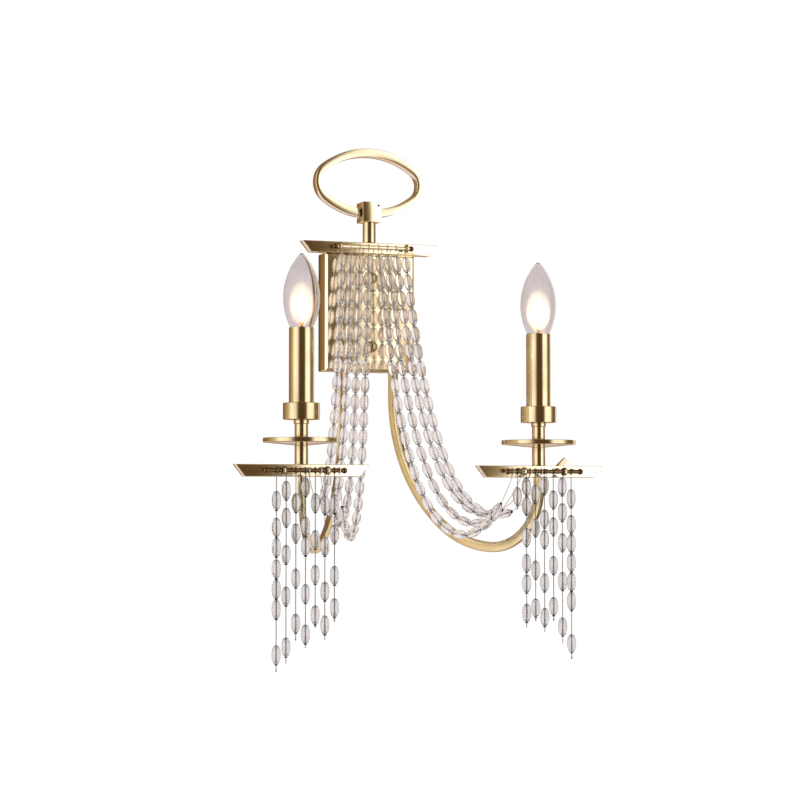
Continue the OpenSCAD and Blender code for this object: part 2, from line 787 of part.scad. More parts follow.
module rear_tab() {
    color("#b9a04e") translate([candle_x + tab_x, -candle_reach + bar_s / 2, lower_rod_z])
        rotate([0, -tab_angle, 0]) translate([0, 0, -tab_w / 2]) cube([tab_l, tab_t, tab_w]);
}

module threaded_tube(side) {
    color("#b8a06a") on_candle(side) translate([0, 0, bar_low_z]) difference() {
        cylinder(d = tube_d, h = tube_top_z - bar_low_z);
        translate([0, 0, -1]) cylinder(d = tube_bore, h = tube_top_z - bar_low_z + 2);
    }
}

module candle_stem(side) {
    color("#c9a55c") on_candle(side) {
        translate([0, 0, bar_high_z]) tube_piece(candle_stem_d, stem_bore, disc_hub_z - bar_high_z);
        translate([0, 0, disc_floor_z]) tube_piece(candle_stem_d, stem_bore, stem_upper_h);
    }
}

module tube_piece(outer, bore, height) {
    difference() {
        cylinder(d = outer, h = height);
        translate([0, 0, -1]) cylinder(d = bore, h = height + 2);
    }
}

// The disc is a turned plate: hub below, shallow dish above, upright rim
module disc(side) {
    rim_r = disc_d / 2;
    color("#d9bf82") on_candle(side) rotate_extrude($fn = 96)
        polygon([[stem_bore / 2, disc_hub_z], [disc_hub_d / 2, disc_hub_z], [rim_r, disc_rim_z],
                 [rim_r, disc_rim_z + disc_rim_h], [rim_r - disc_rim_w, disc_rim_z + disc_rim_h],
                 [rim_r - disc_rim_w - 1.5, disc_floor_z], [stem_bore / 2, disc_floor_z]]);
}

module collars() {
    color("#c9a55c") for (side = [-1, 1]) on_candle(side) translate([0, 0, collar_z])
        tube_piece(collar_d, stem_bore, collar_h);
}

module cup(side) {
    color("#c9a55c") on_candle(side) translate([0, 0, cup_z]) difference() {
        cylinder(d = cup_d, h = cup_h, $fn = 72);
        translate([0, 0, cup_floor]) cylinder(d = cup_d - 2 * cup_wall, h = cup_h, $fn = 72);
        translate([0, 0, -1]) cylinder(d = stem_bore, h = cup_floor + 2);
    }
}

module sleeve(side) {
    color("#c9a55c") on_candle(side) translate([0, 0, sleeve_z])
        tube_piece(sleeve_d, sleeve_d - 2 * sleeve_wall, sleeve_l);
}

module socket(side) {
    color("#f2efe6") on_side(side) in_arm_plane() translate([arm_span, 0, 0]) difference() {
        translate([0, 0, socket_z]) cylinder(d = socket_d, h = socket_l);
        translate([0, 0, socket_z - 1]) cylinder(d = stem_bore, h = tube_grip + 1);
        for (wire = [-1, 1]) translate([wire * lead_pitch / 2, 0, socket_foot_z - 1])
            cylinder(d = port_d, h = port_depth + 1, $fn = 24);
        translate([0, 0, socket_well_z]) cylinder(d = socket_bore, h = socket_l);
    }
}

// Outline of the bulb's glass: a long arc above a tapering neck. The inner
// outline is the same arc drawn in by the wall, with a thick tip.
module glass_outline(inset) {
    top = glass_top - (inset > 0 ? glass_tip : 0);
    arc_r = glass_arc_r - inset;
    shoulder_r = glass_arc_x + sqrt(arc_r * arc_r - glass_belly * glass_belly);
    intersection() {
        translate([glass_arc_x, belly_z]) circle(r = arc_r, $fn = 180);
        translate([0, sleeve_top_z]) square([glass_d, glass_belly + top]);
    }
    polygon([[0, neck_z - (inset > 0 ? 1 : 0)], [shell_d / 2 - inset, neck_z - (inset > 0 ? 1 : 0)],
             [shell_d / 2 - inset, neck_z], [shoulder_r, sleeve_top_z], [0, sleeve_top_z]]);
}

module bulb_glass(side) {
    color([0.9, 0.92, 0.95, 0.35]) on_candle(side) difference() {
        rotate_extrude($fn = 72) glass_outline(0);
        rotate_extrude($fn = 72) glass_outline(glass_wall);
    }
}

// Screw shell, contact, and the glass stem that carries the filament
module bulb_base(side) {
    stem_top_z = filament_z - 16;
    color("#c9ccd0") on_candle(side) {
        rotate_extrude() polygon([[0, contact_z], [contact_d / 2, contact_z], [contact_d / 2, contact_z + 1.5],
            [shell_d / 2 - 0.8, shell_z], [shell_d / 2, shell_z], [shell_d / 2, neck_z],
            [2, neck_z], [2, stem_top_z], [0, stem_top_z]]);
        for (end = [-1, 1]) translate([end * 1.3, 0, stem_top_z]) cylinder(d = 0.6, h = 16, $fn = 16);
        translate([-4, 0, filament_z]) rotate([0, 90, 0]) cylinder(d = 1, h = 8, $fn = 16);
    }
}

// One bead with its axis along z and its middle at the origin
module bead() {
    rotate_extrude($fn = 24) intersection() {
        translate([bead_d / 2 - bead_arc_r, 0]) circle(r = bead_arc_r, $fn = 96);
        translate([bead_bore / 2, -bead_l / 2]) square([bead_d, bead_l]);
    }
}

// The small ring round a rod at a strand's end
module loop_ring() {
    rotate([0, 90, 0]) rotate_extrude() translate([loop_r, 0]) circle(d = loop_t, $fn = 16);
}

// A six sided wire through points that lie in one upright plane
module wire(points, across) {
    sides = 6;
    last = len(points) - 1;
    ring_points = [for (i = [0:last])
        let (step = points[min(i + 1, last)] - points[max(i - 1, 0)], along = step / norm(step),
             up = cross(along, across))
        for (j = [0:sides - 1])
            points[i] + wire_d / 2 * (cos(j * 360 / sides) * across + sin(j * 360 / sides) * up)];
    walls = [for (i = [0:last - 1], j = [0:sides - 1])
        let (a = i * sides + j, b = i * sides + (j + 1) % sides)
        each [[a, b, b + sides], [a, b + sides, a + sides]]];
    caps = [for (j = [1:sides - 2]) each [[0, j + 1, j], [last * sides, last * sides + j, last * sides + j + 1]]];
    polyhedron(points = ring_points, faces = concat(walls, caps));
}

// Turns a child that lies along z into the direction d
module along(d) {
    rotate([0, acos(d.z / norm(d)), atan2(d.y, d.x)]) children();
}

// The two ends of a swag: number i from the middle outwards
function swag_head(side, i) = [side * (swag_first + i * swag_pitch), -top_rod_y, top_rod_z - wire_start];
function swag_foot(side, spec) = [side * (candle_x - spec[3]), -lower_rod_y, lower_rod_z - wire_start];

// Both tips of every bead of a swag, as pairs
function bead_tips(a, b, c, spec) = [for (n = [0:spec[1] - 1])
    let (l = spec[2] + n * swag_step)
    [chain_point(a, b, c, l), chain_point(a, b, c, l + bead_on_wire)]];

// Wire length used up at the lower tip of a swag's last bead
function beaded_length(spec) = spec[2] + (spec[1] - 1) * swag_step + bead_on_wire;

module swag_beads(side, i, spec) {
    a = swag_head(side, i);
    b = swag_foot(side, spec);
    c = chain(a, b, spec[0]);
    tips = bead_tips(a, b, c, spec);
    for (pair = tips) translate((pair[0] + pair[1]) / 2) along(pair[1] - pair[0]) bead();
    translate([a.x, a.y, top_rod_z]) loop_ring();
    translate([b.x, b.y, lower_rod_z]) loop_ring();
    below = chain_point(a, b, c, beaded_length(spec) + (spec[0] - beaded_length(spec)) / 4);
    foot = tips[spec[1] - 1][1];
    translate(foot) along(below - foot) translate([0, 0, 0.3]) difference() {
        cylinder(d = crimp_d, h = crimp_l);
        translate([0, 0, -1]) cylinder(d = wire_d + 0.3, h = crimp_l + 2);
    }
}

module swag_wire(side, i, spec) {
    a = swag_head(side, i);
    b = swag_foot(side, spec);
    c = chain(a, b, spec[0]);
    used = beaded_length(spec);
    bare = [for (n = [1:4]) chain_point(a, b, c, used + (spec[0] - used) * n / 4)];
    across = [b.y - a.y, a.x - b.x, 0] / c[2];
    wire(concat([a], [for (pair = bead_tips(a, b, c, spec)) each pair], bare), across);
}

module swags(side, specs) {
    color([0.88, 0.84, 0.86, 0.6]) for (i = [0:3]) swag_beads(side, i, specs[i]);
}

module swag_wires(side, specs) {
    color("#8c8478") for (i = [0:3]) swag_wire(side, i, specs[i]);
}

// One straight fringe strand: number i from the left
module fringe_strand(side, i, spec) {
    gaps = spec[0];
    count = len(gaps);
    x = side * candle_x + (i - 3) * fringe_pitch;
    bottom = wire_start + sum(gaps, count - 1) + count * bead_l + spec[1];
    color([0.8, 0.8, 0.84, 0.6]) translate([x, -lower_rod_y, lower_rod_z]) {
        loop_ring();
        translate([0, 0, -bottom]) cylinder(d = wire_d, h = bottom - wire_start);
        for (n = [0:count - 1]) {
            bead_top = -wire_start - sum(gaps, n) - n * bead_l;
            translate([0, 0, bead_top - bead_l / 2]) bead();
            translate([0, 0, bead_top - bead_l - 0.15 - crimp_l]) cylinder(d = crimp_d, h = crimp_l);
        }
    }
}

back_pan();
face_plate();
crossbar();
canopy_studs();
finial_nuts();
earth_screw();
lead_connectors();
bar_screws();
arm_nuts();
top_bar();
top_stem();
clamp_block();
clamp_screw();
ring();
top_rod();
rod_eyes();
rod_knobs();
lead_wires();
collars();
rear_tab();
arm(-1);  // arm_left
arm(1);  // arm_right
lower_bar(-1);  // lower_bar_left
lower_bar(1);  // lower_bar_right
lower_rod(-1);  // lower_rod_left
lower_rod(1);  // lower_rod_right
threaded_tube(-1);  // threaded_tube_left
threaded_tube(1);  // threaded_tube_right
candle_stem(-1);  // candle_stem_left
candle_stem(1);  // candle_stem_right
disc(-1);  // disc_left
disc(1);  // disc_right
cup(-1);  // cup_left
cup(1);  // cup_right
sleeve(-1);  // sleeve_left
sleeve(1);  // sleeve_right
socket(-1);  // socket_left
socket(1);  // socket_right
bulb_glass(-1);  // bulb_glass_left
bulb_glass(1);  // bulb_glass_right
bulb_base(-1);  // bulb_base_left
bulb_base(1);  // bulb_base_right
swags(-1, swag_left);  // swags_left
swags(1, swag_right);  // swags_right
swag_wires(-1, swag_left);  // swag_wires_left
swag_wires(1, swag_right);  // swag_wires_right
fringe_strand(-1, 0, fringe_left[0]);  // fringe_left_1
fringe_strand(-1, 1, fringe_left[1]);  // fringe_left_2
fringe_strand(-1, 2, fringe_left[2]);  // fringe_left_3
fringe_strand(-1, 3, fringe_left[3]);  // fringe_left_4
fringe_strand(-1, 4, fringe_left[4]);  // fringe_left_5
fringe_strand(-1, 5, fringe_left[5]);  // fringe_left_6
fringe_strand(-1, 6, fringe_left[6]);  // fringe_left_7
fringe_strand(1, 0, fringe_right[0]);  // fringe_right_1
fringe_strand(1, 1, fringe_right[1]);  // fringe_right_2
fringe_strand(1, 2, fringe_right[2]);  // fringe_right_3
fringe_strand(1, 3, fringe_right[3]);  // fringe_right_4
fringe_strand(1, 4, fringe_right[4]);  // fringe_right_5
fringe_strand(1, 5, fringe_right[5]);  // fringe_right_6
fringe_strand(1, 6, fringe_right[6]);  // fringe_right_7
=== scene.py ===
# %% [markdown]
# # A candle wall light with bead strands
# The light is a flat box for the wall, an oval ring on top, two bent arms with a
# candle lamp each, and clear oval beads that hang in swags and in fringes.
# The construction comes from a CAD model. This lesson dresses it: it makes softer,
# finer pieces where the CAD ones are plain, and gives every surface its finish.

# %% Load the CAD frame
import json
import math

import bmesh
import bpy
from mathutils import Matrix, Vector

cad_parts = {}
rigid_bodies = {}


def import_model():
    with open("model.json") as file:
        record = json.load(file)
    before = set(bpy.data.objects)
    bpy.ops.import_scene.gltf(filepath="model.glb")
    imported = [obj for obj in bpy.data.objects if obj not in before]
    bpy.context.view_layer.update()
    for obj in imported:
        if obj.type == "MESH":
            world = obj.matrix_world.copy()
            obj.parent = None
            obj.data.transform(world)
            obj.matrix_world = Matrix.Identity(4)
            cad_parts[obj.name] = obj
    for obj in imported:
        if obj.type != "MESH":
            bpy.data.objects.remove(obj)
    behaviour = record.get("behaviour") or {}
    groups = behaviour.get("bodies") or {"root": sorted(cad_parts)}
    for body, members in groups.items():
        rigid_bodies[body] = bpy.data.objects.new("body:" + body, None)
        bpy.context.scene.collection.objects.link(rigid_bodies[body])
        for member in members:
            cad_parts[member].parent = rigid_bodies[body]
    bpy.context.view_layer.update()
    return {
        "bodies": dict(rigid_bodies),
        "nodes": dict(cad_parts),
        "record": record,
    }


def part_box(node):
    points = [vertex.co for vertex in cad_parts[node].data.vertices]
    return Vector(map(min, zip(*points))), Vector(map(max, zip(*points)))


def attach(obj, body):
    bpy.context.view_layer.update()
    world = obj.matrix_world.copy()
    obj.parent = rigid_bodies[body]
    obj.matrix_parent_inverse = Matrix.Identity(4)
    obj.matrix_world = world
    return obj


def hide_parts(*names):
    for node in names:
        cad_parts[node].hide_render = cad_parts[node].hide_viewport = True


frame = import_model()
MM = 0.001

# %% [markdown]
# ## Measures from the frame
# The main sizes are read from the CAD nodes, so a new piece always sits where the
# construction has it. All the modelling below is in millimetres.

# %% Read the main sizes
SIDES = {"left": -1, "right": 1}


def corners(node):
    """Lowest and highest corner of a CAD node, in millimetres."""
    low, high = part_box(node)
    return low / MM, high / MM


box_low, box_high = corners("back_pan")
plate_low, plate_high = corners("face_plate")
top_bar_high = corners("top_bar")[1]
ring_low, ring_high = corners("ring")
disc_low, disc_high = corners("disc_right")
cup_low, cup_high = corners("cup_right")
sleeve_low, sleeve_high = corners("sleeve_right")
low_bar_low, low_bar_high = corners("lower_bar_right")

candle_x = (disc_low.x + disc_high.x) / 2
candle_y = (disc_low.y + disc_high.y) / 2
CANDLE_AXIS = {side: (sign * candle_x, candle_y, 0) for side, sign in SIDES.items()}
print("candle axis at x", round(candle_x, 1), "and y", round(candle_y, 1))

# %% [markdown]
# ## Camera
# The photograph looks at the light from its left, a little from below, through a
# long lens. The camera stands about two metres away and tilts up slightly.

# %% Set the camera
CAMERA_PLACE = (-0.7008, -2.0534, -0.1845)
CAMERA_TURN = math.radians(19.81)
CAMERA_TILT = math.radians(2.645)
LENS_LENGTH = 99.3
FAR_CLIP = 50

lens = bpy.data.cameras.new("camera")
lens.lens = LENS_LENGTH
lens.clip_end = FAR_CLIP
camera = bpy.data.objects.new("camera", lens)
camera.location = CAMERA_PLACE
camera.rotation_euler = (math.pi / 2 + CAMERA_TILT, 0, -CAMERA_TURN)
bpy.context.scene.collection.objects.link(camera)
bpy.context.scene.camera = camera

# %% [markdown]
# ## Shader sums in Python
# Nodes could be wired by hand, but a formula is easier to read. The class wraps a
# socket, so that `grain * 0.1 + 0.3` adds the Math nodes by itself. Every other
# node comes from one method that takes its type, its sockets and its settings.


# %% Wrap sockets and node trees
class Number:
    """An output socket that takes part in Python sums."""

    def __init__(self, graph, socket):
        self.graph, self.socket = graph, socket

    def sum_with(self, operation, first, second):
        values = {0: first, 1: second}
        return self.graph.node("ShaderNodeMath", values, operation=operation)["Value"]

    def __add__(self, other):
        return self.sum_with("ADD", self, other)

    def __rsub__(self, other):
        return self.sum_with("SUBTRACT", other, self)

    def __mul__(self, other):
        return self.sum_with("MULTIPLY", self, other)

    def smooth(self, start, end):
        """Goes softly from 0 at start to 1 at end."""
        values = {"Value": self, "From Min": start, "From Max": end}
        return self.graph.node("ShaderNodeMapRange", values, interpolation_type="SMOOTHSTEP")["Result"]


def solid(colour):
    """Adds full cover to a colour of three numbers and leaves a socket alone."""
    return colour if isinstance(colour, Number) else (*colour, 1)


class Graph:
    """A node tree that is emptied and filled again."""

    def __init__(self, tree):
        self.tree = tree
        tree.nodes.clear()

    def node(self, kind, values=None, stops=None, **settings):
        made = self.tree.nodes.new(kind)
        for key, setting in settings.items():
            setattr(made, key, setting)
        if stops:
            while len(made.color_ramp.elements) < len(stops):
                made.color_ramp.elements.new(1)
            for element, (position, colour) in zip(made.color_ramp.elements, stops):
                element.position, element.color = position, solid(colour)
        for key, value in (values or {}).items():
            named = [s for s in made.inputs if s.enabled and s.name == key]
            socket = made.inputs[key] if isinstance(key, int) else named[0]
            if isinstance(value, Number):
                self.tree.links.new(value.socket, socket)
            else:
                socket.default_value = value
        return {s.name: Number(self, s) for s in made.outputs if s.enabled}

    def mix(self, factor, first, second):
        values = {"Factor": factor, "A": solid(first), "B": solid(second)}
        return self.node("ShaderNodeMix", values, data_type="RGBA")["Result"]

    def noise(self, place, scale, detail=2.0):
        values = {"Vector": place, "Scale": scale, "Detail": detail}
        return self.node("ShaderNodeTexNoise", values)["Fac"]


def new_finish(name):
    made = bpy.data.materials.new(name)
    made.use_nodes = True
    graph = Graph(made.node_tree)
    return made, graph, graph.node("ShaderNodeTexCoord")["Object"]


def principled(graph, values):
    shader = graph.node("ShaderNodeBsdfPrincipled", values)["BSDF"]
    graph.node("ShaderNodeOutputMaterial", {"Surface": shader})


# %% [markdown]
# ## Brass and steel
# Plated brass is never one flat colour: the plating is a little deeper in places,
# the lacquer has a fine orange peel, and handling leaves soft cloudy patches in
# the gloss. Noise in two sizes gives the three effects. Each row holds the light
# colour, the deep one and the roughness, and some add haze, grain and relief.

# %% Make the metals
CLOUD, CLOUD_DETAIL = 38, 3
GRAIN, GRAIN_DEPTH, GRAIN_GLOSS = 900, 0.0002, 0.06


def grain_normal(graph, fine, relief):
    """A surface direction that follows a fine grain."""
    values = {"Strength": relief, "Distance": GRAIN_DEPTH, "Height": fine}
    return graph.node("ShaderNodeBump", values)["Normal"]


def metal(name, light, deep, rough, haze=0.08, grain=GRAIN, relief=0.01):
    """Metal with cloudy colour and gloss and a fine lacquered grain."""
    made, graph, place = new_finish(name)
    cloud = graph.noise(place, CLOUD, CLOUD_DETAIL).smooth(0.35, 0.7)
    fine = graph.noise(place, grain)
    principled(graph, {
        "Base Color": graph.mix(cloud, light, deep),
        "Metallic": 1.0,
        "Roughness": cloud * haze + fine * GRAIN_GLOSS + (rough - GRAIN_GLOSS / 2),
        "Normal": grain_normal(graph, fine, relief),
    })
    return made


METALS = {
    "satin_brass": ((0.72, 0.6, 0.4), (0.61, 0.5, 0.32), 0.16, 0.05),
    "polished_brass": ((0.93, 0.84, 0.66), (0.89, 0.78, 0.58), 0.1, 0.04),
    # The dark brass darkens all the knobs, and on the two lower rods it is painted shade
    "dark_brass": ((0.2, 0.12, 0.06), (0.12, 0.07, 0.035), 0.2),
    "zinc_steel": ((0.62, 0.63, 0.62), (0.52, 0.53, 0.5), 0.3, 0.1, 400, 0.1),
    "dark_steel": ((0.2, 0.18, 0.15), (0.13, 0.11, 0.09), 0.3),
    "bulb_metal": ((0.75, 0.74, 0.7), (0.62, 0.6, 0.55), 0.25),
    "strand_wire": ((0.24, 0.225, 0.215), (0.16, 0.15, 0.145), 0.35),
    "bright_wire": ((0.95, 0.9, 0.84), (0.88, 0.82, 0.75), 0.5),
    "green_screw": ((0.12, 0.42, 0.18), (0.08, 0.32, 0.12), 0.35),
}
finishes = {name: metal(name, *look) for name, look in METALS.items()}

# %% [markdown]
# ## Plastics and insulation
# The connectors, the sockets and the skin of the leads are plastic, and the black
# crimps are dull too. A fine spark texture breaks the gloss of all of them, and a
# coarser noise shades the colour. Each row: colour, shade and roughness.

# %% Make the plastics
MOTTLE, MOTTLE_DETAIL = 60, 3
SPARK = 0.15


def plastic(name, colour, shade, rough):
    made, graph, place = new_finish(name)
    fine = graph.noise(place, GRAIN)
    principled(graph, {
        "Base Color": graph.mix(graph.noise(place, MOTTLE, MOTTLE_DETAIL), colour, shade),
        "Roughness": fine * SPARK + rough,
        "Normal": grain_normal(graph, fine, SPARK),
    })
    return made


PLASTICS = {
    "connector_plastic": ((0.78, 0.76, 0.7), (0.68, 0.66, 0.6), 0.35),
    "socket_plastic": ((0.8, 0.78, 0.72), (0.7, 0.67, 0.6), 0.4),
    "lead_insulation": ((0.1, 0.07, 0.04), (0.06, 0.04, 0.025), 0.4),
    "crimp_black": ((0.03, 0.026, 0.024), (0.015, 0.013, 0.012), 0.6),
}
finishes.update({name: plastic(name, *look) for name, look in PLASTICS.items()})

# %% [markdown]
# ## Glass
# The bulbs are thin glass with a faint smoky tint. The beads are moulded, so they
# are a little less clear, and the fringe has the greyer ones. A clear shader with
# a light tint does it all, and noise lets the tint and the gloss drift. Each row:
# tint, shade, roughness, size of the drift, bending of light and clearness.

# %% Make the clear finishes
FLOW_GLOSS = 0.04


def clear(name, tint, shade, rough, scale, ior, clearness):
    made, graph, place = new_finish(name)
    flow = graph.noise(place, scale, 3)
    principled(graph, {
        "Base Color": graph.mix(flow.smooth(0.3, 0.75), tint, shade),
        "Roughness": flow * FLOW_GLOSS + rough,
        "IOR": ior,
        "Transmission Weight": clearness,
    })
    return made


GLASSES = {
    "bulb_glass": ((0.86, 0.82, 0.82), (0.8, 0.75, 0.75), 0.0, 30, 1.45, 1.0),
    "clear_beads": ((0.96, 0.92, 0.915), (0.9, 0.855, 0.85), 0.05, 120, 1.49, 0.93),
    "smoky_beads": ((0.8, 0.775, 0.77), (0.7, 0.68, 0.675), 0.05, 120, 1.49, 0.95),
}
finishes.update({name: clear(name, *look) for name, look in GLASSES.items()})

# %% [markdown]
# The filament, a small painted orange glow on the mount's tip and the halo round
# them shine by themselves. The halo has very little cover, so it only adds light
# to what is behind it. Each row: colour, shade, strength and cover.

# %% Make the glowing finishes
UNLIT_COLOUR = (0.2, 0.15, 0.1)
RIPPLE, RIPPLE_COVER = 120, 0.1


def glowing(name, colour, shade, strength, cover):
    """Something that shines, with a slight ripple in its colour and its cover."""
    made, graph, place = new_finish(name)
    ripple = graph.noise(place, RIPPLE)
    principled(graph, {
        "Base Color": solid(UNLIT_COLOUR),
        "Roughness": ripple * 0.2 + 0.4,
        "Alpha": ripple * RIPPLE_COVER + (cover - RIPPLE_COVER / 2),
        "Emission Color": graph.mix(ripple, colour, shade),
        "Emission Strength": strength,
    })
    return made


GLOWS = {
    "filament_glow": ((1, 0.86, 0.6), (1, 0.78, 0.45), 40, 1.0),
    # The orange dot on the mount's tip is painted glow: it shines though the mount is no lamp
    "painted_glow_dot": ((0.9, 0.26, 0.02), (1, 0.4, 0.06), 1, 1.0),
    "halo": ((1, 0.95, 0.86), (1, 0.98, 0.93), 1.12, 0.07),
}
finishes.update({name: glowing(name, *look) for name, look in GLOWS.items()})

# %% [markdown]
# ## From a bmesh to a piece
# A piece starts from an operator, is shaped by operators, and is finished here in
# one place: doubles merged, normals outwards, millimetres made metres, smooth
# shading that stops at sharp edges. Then it rides on its body in the frame.

# %% Finish a piece
MERGE = 0.003


def piece(name, bm, slot, body="fixture", stands_for=(), crease=38, finish=None):
    bmesh.ops.remove_doubles(bm, verts=bm.verts, dist=MERGE)
    bmesh.ops.recalc_face_normals(bm, faces=bm.faces)
    bmesh.ops.scale(bm, vec=(MM, MM, MM), verts=bm.verts)
    mesh = bpy.data.meshes.new(name)
    bm.to_mesh(mesh)
    bm.free()
    mesh.polygons.foreach_set("use_smooth", [True] * len(mesh.polygons))
    mesh.set_sharp_from_angle(angle=math.radians(crease))
    mesh.materials.append(finishes[finish or slot])
    made = bpy.data.objects.new(name, mesh)
    bpy.context.scene.collection.objects.link(made)
    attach(made, body)
    if stands_for:
        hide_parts(*stands_for)
    print(f"{name}: {len(mesh.polygons)} faces")


# %% [markdown]
# Most pieces are turned or cut from bar. A turned piece is an outline spun round
# its axis. A bar or plate is one face pushed to its depth, with its sharp edges
# taken off, because an edge with no width never catches the light.

# %% Helpers for turned and cut pieces
TO_FRONT = Matrix.Rotation(math.pi / 2, 4, "X")
TO_BACK = Matrix.Rotation(-math.pi / 2, 4, "X")
TO_SIDE = Matrix.Rotation(math.pi / 2, 4, "Y")
STAYS = Matrix.Identity(4)


def turned(bm, outline, centre=(0, 0, 0), turn=STAYS, steps=48, closed=False):
    """Spins an outline of (radius, height) pairs about an axis through the centre."""
    points = [bm.verts.new((r, 0, h)) for r, h in outline]
    follow = points[1:] + points[:1] if closed else points[1:]
    edges = [bm.edges.new(pair) for pair in zip(points, follow)]
    before = set(bm.verts) - set(points)
    bmesh.ops.spin(bm, geom=points + edges, axis=(0, 0, 1), cent=(0, 0, 0), angle=2 * math.pi,
                   steps=steps, use_merge=True)
    made = [v for v in bm.verts if v not in before]
    bmesh.ops.transform(bm, matrix=Matrix.Translation(centre) @ turn, verts=made)


def slab(bm, outline, y_front, y_back):
    """A face with (x, z) corners, pushed from one depth to another."""
    face = bm.faces.new([bm.verts.new((x, y_front, z)) for x, z in outline])
    pushed = bmesh.ops.extrude_face_region(bm, geom=[face])
    back = [v for v in pushed["geom"] if isinstance(v, bmesh.types.BMVert)]
    bmesh.ops.translate(bm, vec=(0, y_back - y_front, 0), verts=back)


def block(bm, low, high):
    """A box between two corners."""
    made = bmesh.ops.create_cube(bm, size=1)["verts"]
    bmesh.ops.scale(bm, vec=Vector(high) - Vector(low), verts=made)
    bmesh.ops.translate(bm, vec=(Vector(high) + Vector(low)) / 2, verts=made)


def soften(bm, width, segments=3, over=25, keep=lambda edge: True):
    """Rounds the edges that are sharper than the angle given."""
    bm.normal_update()
    limit = math.radians(over)
    sharp = [e for e in bm.edges if e.is_manifold and e.calc_face_angle(0) > limit and keep(e)]
    bmesh.ops.bevel(bm, geom=sharp, offset=width, segments=segments, affect="EDGES", profile=0.5,
                    material=-1, clamp_overlap=True)


# %% [markdown]
# ## Wall box
# The pan is folded sheet with rounded corners. It is open at the back, where the
# strap and the wires are, and the face plate closes its front. The plate is thick
# and has a wide polished bevel. Both are boxes: the pan is hollowed by giving its
# faces a wall, and the plate gets its bevel from the bevel operator, and then a
# fine soft edge.

# %% Model the wall box
PAN_WALL, PAN_CORNER, PAN_EDGE = 1.2, 1.2, 0.25
PLATE_BEVEL, PLATE_EDGE, PLATE_GAP = 2.4, 0.3, 0.05

pan = bmesh.new()
block(pan, box_low, box_high)
open_faces = [f for f in pan.faces if abs(f.normal.y) > 0.9]
bmesh.ops.delete(pan, geom=open_faces, context="FACES_ONLY")
long_edges = [e for e in pan.edges if abs((e.verts[0].co - e.verts[1].co).y) > 1]
bmesh.ops.bevel(pan, geom=long_edges, offset=PAN_CORNER, segments=4, affect="EDGES", profile=0.5,
                material=-1)
bmesh.ops.recalc_face_normals(pan, faces=pan.faces)
bmesh.ops.solidify(pan, geom=pan.faces, thickness=PAN_WALL)
soften(pan, PAN_EDGE, 2, 60)
piece("box_pan", pan, "satin_brass", stands_for=["back_pan"])


def is_front(edge):
    return all(abs(v.co.y - plate_low.y) < 0.1 for v in edge.verts)


plate = bmesh.new()
block(plate, plate_low, (plate_high.x, box_low.y - PLATE_GAP, plate_high.z))
soften(plate, PLATE_BEVEL, 1, 60, is_front)
soften(plate, PLATE_EDGE, 3, 20)
piece("box_plate", plate, "polished_brass", stands_for=["face_plate"])

# %% [markdown]
# Two ball nuts hold the plate. Each is turned from bar: a thin washer, a short
# neck and a ball. The ball's outline is an arc, and all is spun about the stud.

# %% Model the ball nuts
WASHER = [(0, 0), (5.6, 0), (5.8, 0.2), (5.6, 0.5), (4.6, 0.7)]


def arc(centre, radius, start, end, steps):
    """Points on an arc in degrees, as (across, up) pairs."""
    turns = [math.radians(start + (end - start) * i / steps) for i in range(steps + 1)]
    return [(centre[0] + radius * math.cos(a), centre[1] + radius * math.sin(a)) for a in turns]


nut_low, nut_high = corners("finial_nuts")
ball_r = (nut_high.x - nut_low.x) / 2
ball = arc((0, nut_high.y - nut_low.y - ball_r), ball_r, -38, 90, 14)
nuts = bmesh.new()
for z in (nut_low.z + ball_r, nut_high.z - ball_r):
    turned(nuts, WASHER + ball, (0, nut_high.y, z), TO_FRONT, 40)
piece("ball_nuts", nuts, "satin_brass", stands_for=["finial_nuts"])

# %% [markdown]
# ## Bars
# The three bars are cut from square bar with slanting ends, the long edge on top.
# A slanting outline is pushed to the bar's depth. The soft edge gives the thin
# bright line that runs along each bar in the photograph. A small flat tab slants
# up behind the right lower bar.

# %% Model the bars
MITRE, BAR_EDGE = 9, 0.8
TAB = {"length": 17.5, "thick": 3, "width": 4.3, "edge": 0.35, "angle": 43, "x": 17.5}


def mitred_bar(name, node):
    low, high = corners(node)
    outline = [(low.x + MITRE, low.z), (high.x - MITRE, low.z), (high.x, high.z), (low.x, high.z)]
    made = bmesh.new()
    slab(made, outline, low.y, high.y)
    soften(made, BAR_EDGE)
    piece(name, made, "satin_brass", stands_for=[node], finish="polished_brass")


mitred_bar("bar_top", "top_bar")
for side in SIDES:
    mitred_bar(f"bar_low_{side}", f"lower_bar_{side}")

tab = bmesh.new()
block(tab, (0, 0, -TAB["width"] / 2), (TAB["length"], TAB["thick"], TAB["width"] / 2))
soften(tab, TAB["edge"])
tab_root = (candle_x + TAB["x"], low_bar_high.y, (low_bar_low.z + low_bar_high.z) / 2)
tab_place = Matrix.Translation(tab_root) @ Matrix.Rotation(-math.radians(TAB["angle"]), 4, "Y")
bmesh.ops.transform(tab, matrix=tab_place, verts=tab.verts)
piece("bar_tab", tab, "satin_brass", stands_for=["rear_tab"])

# %% [markdown]
# ## Stem, clamp block and ring
# The ring is an oval cut from thick plate, narrower at its ends. Each outline is
# drawn by turning a single point round the centres of four arcs in turn. The two
# outlines are bridged, and the face is pushed to its depth.

# %% Draw an oval by turning a point
END_COS, END_SIN = 0.6, 0.8
OVAL_STEPS = 30


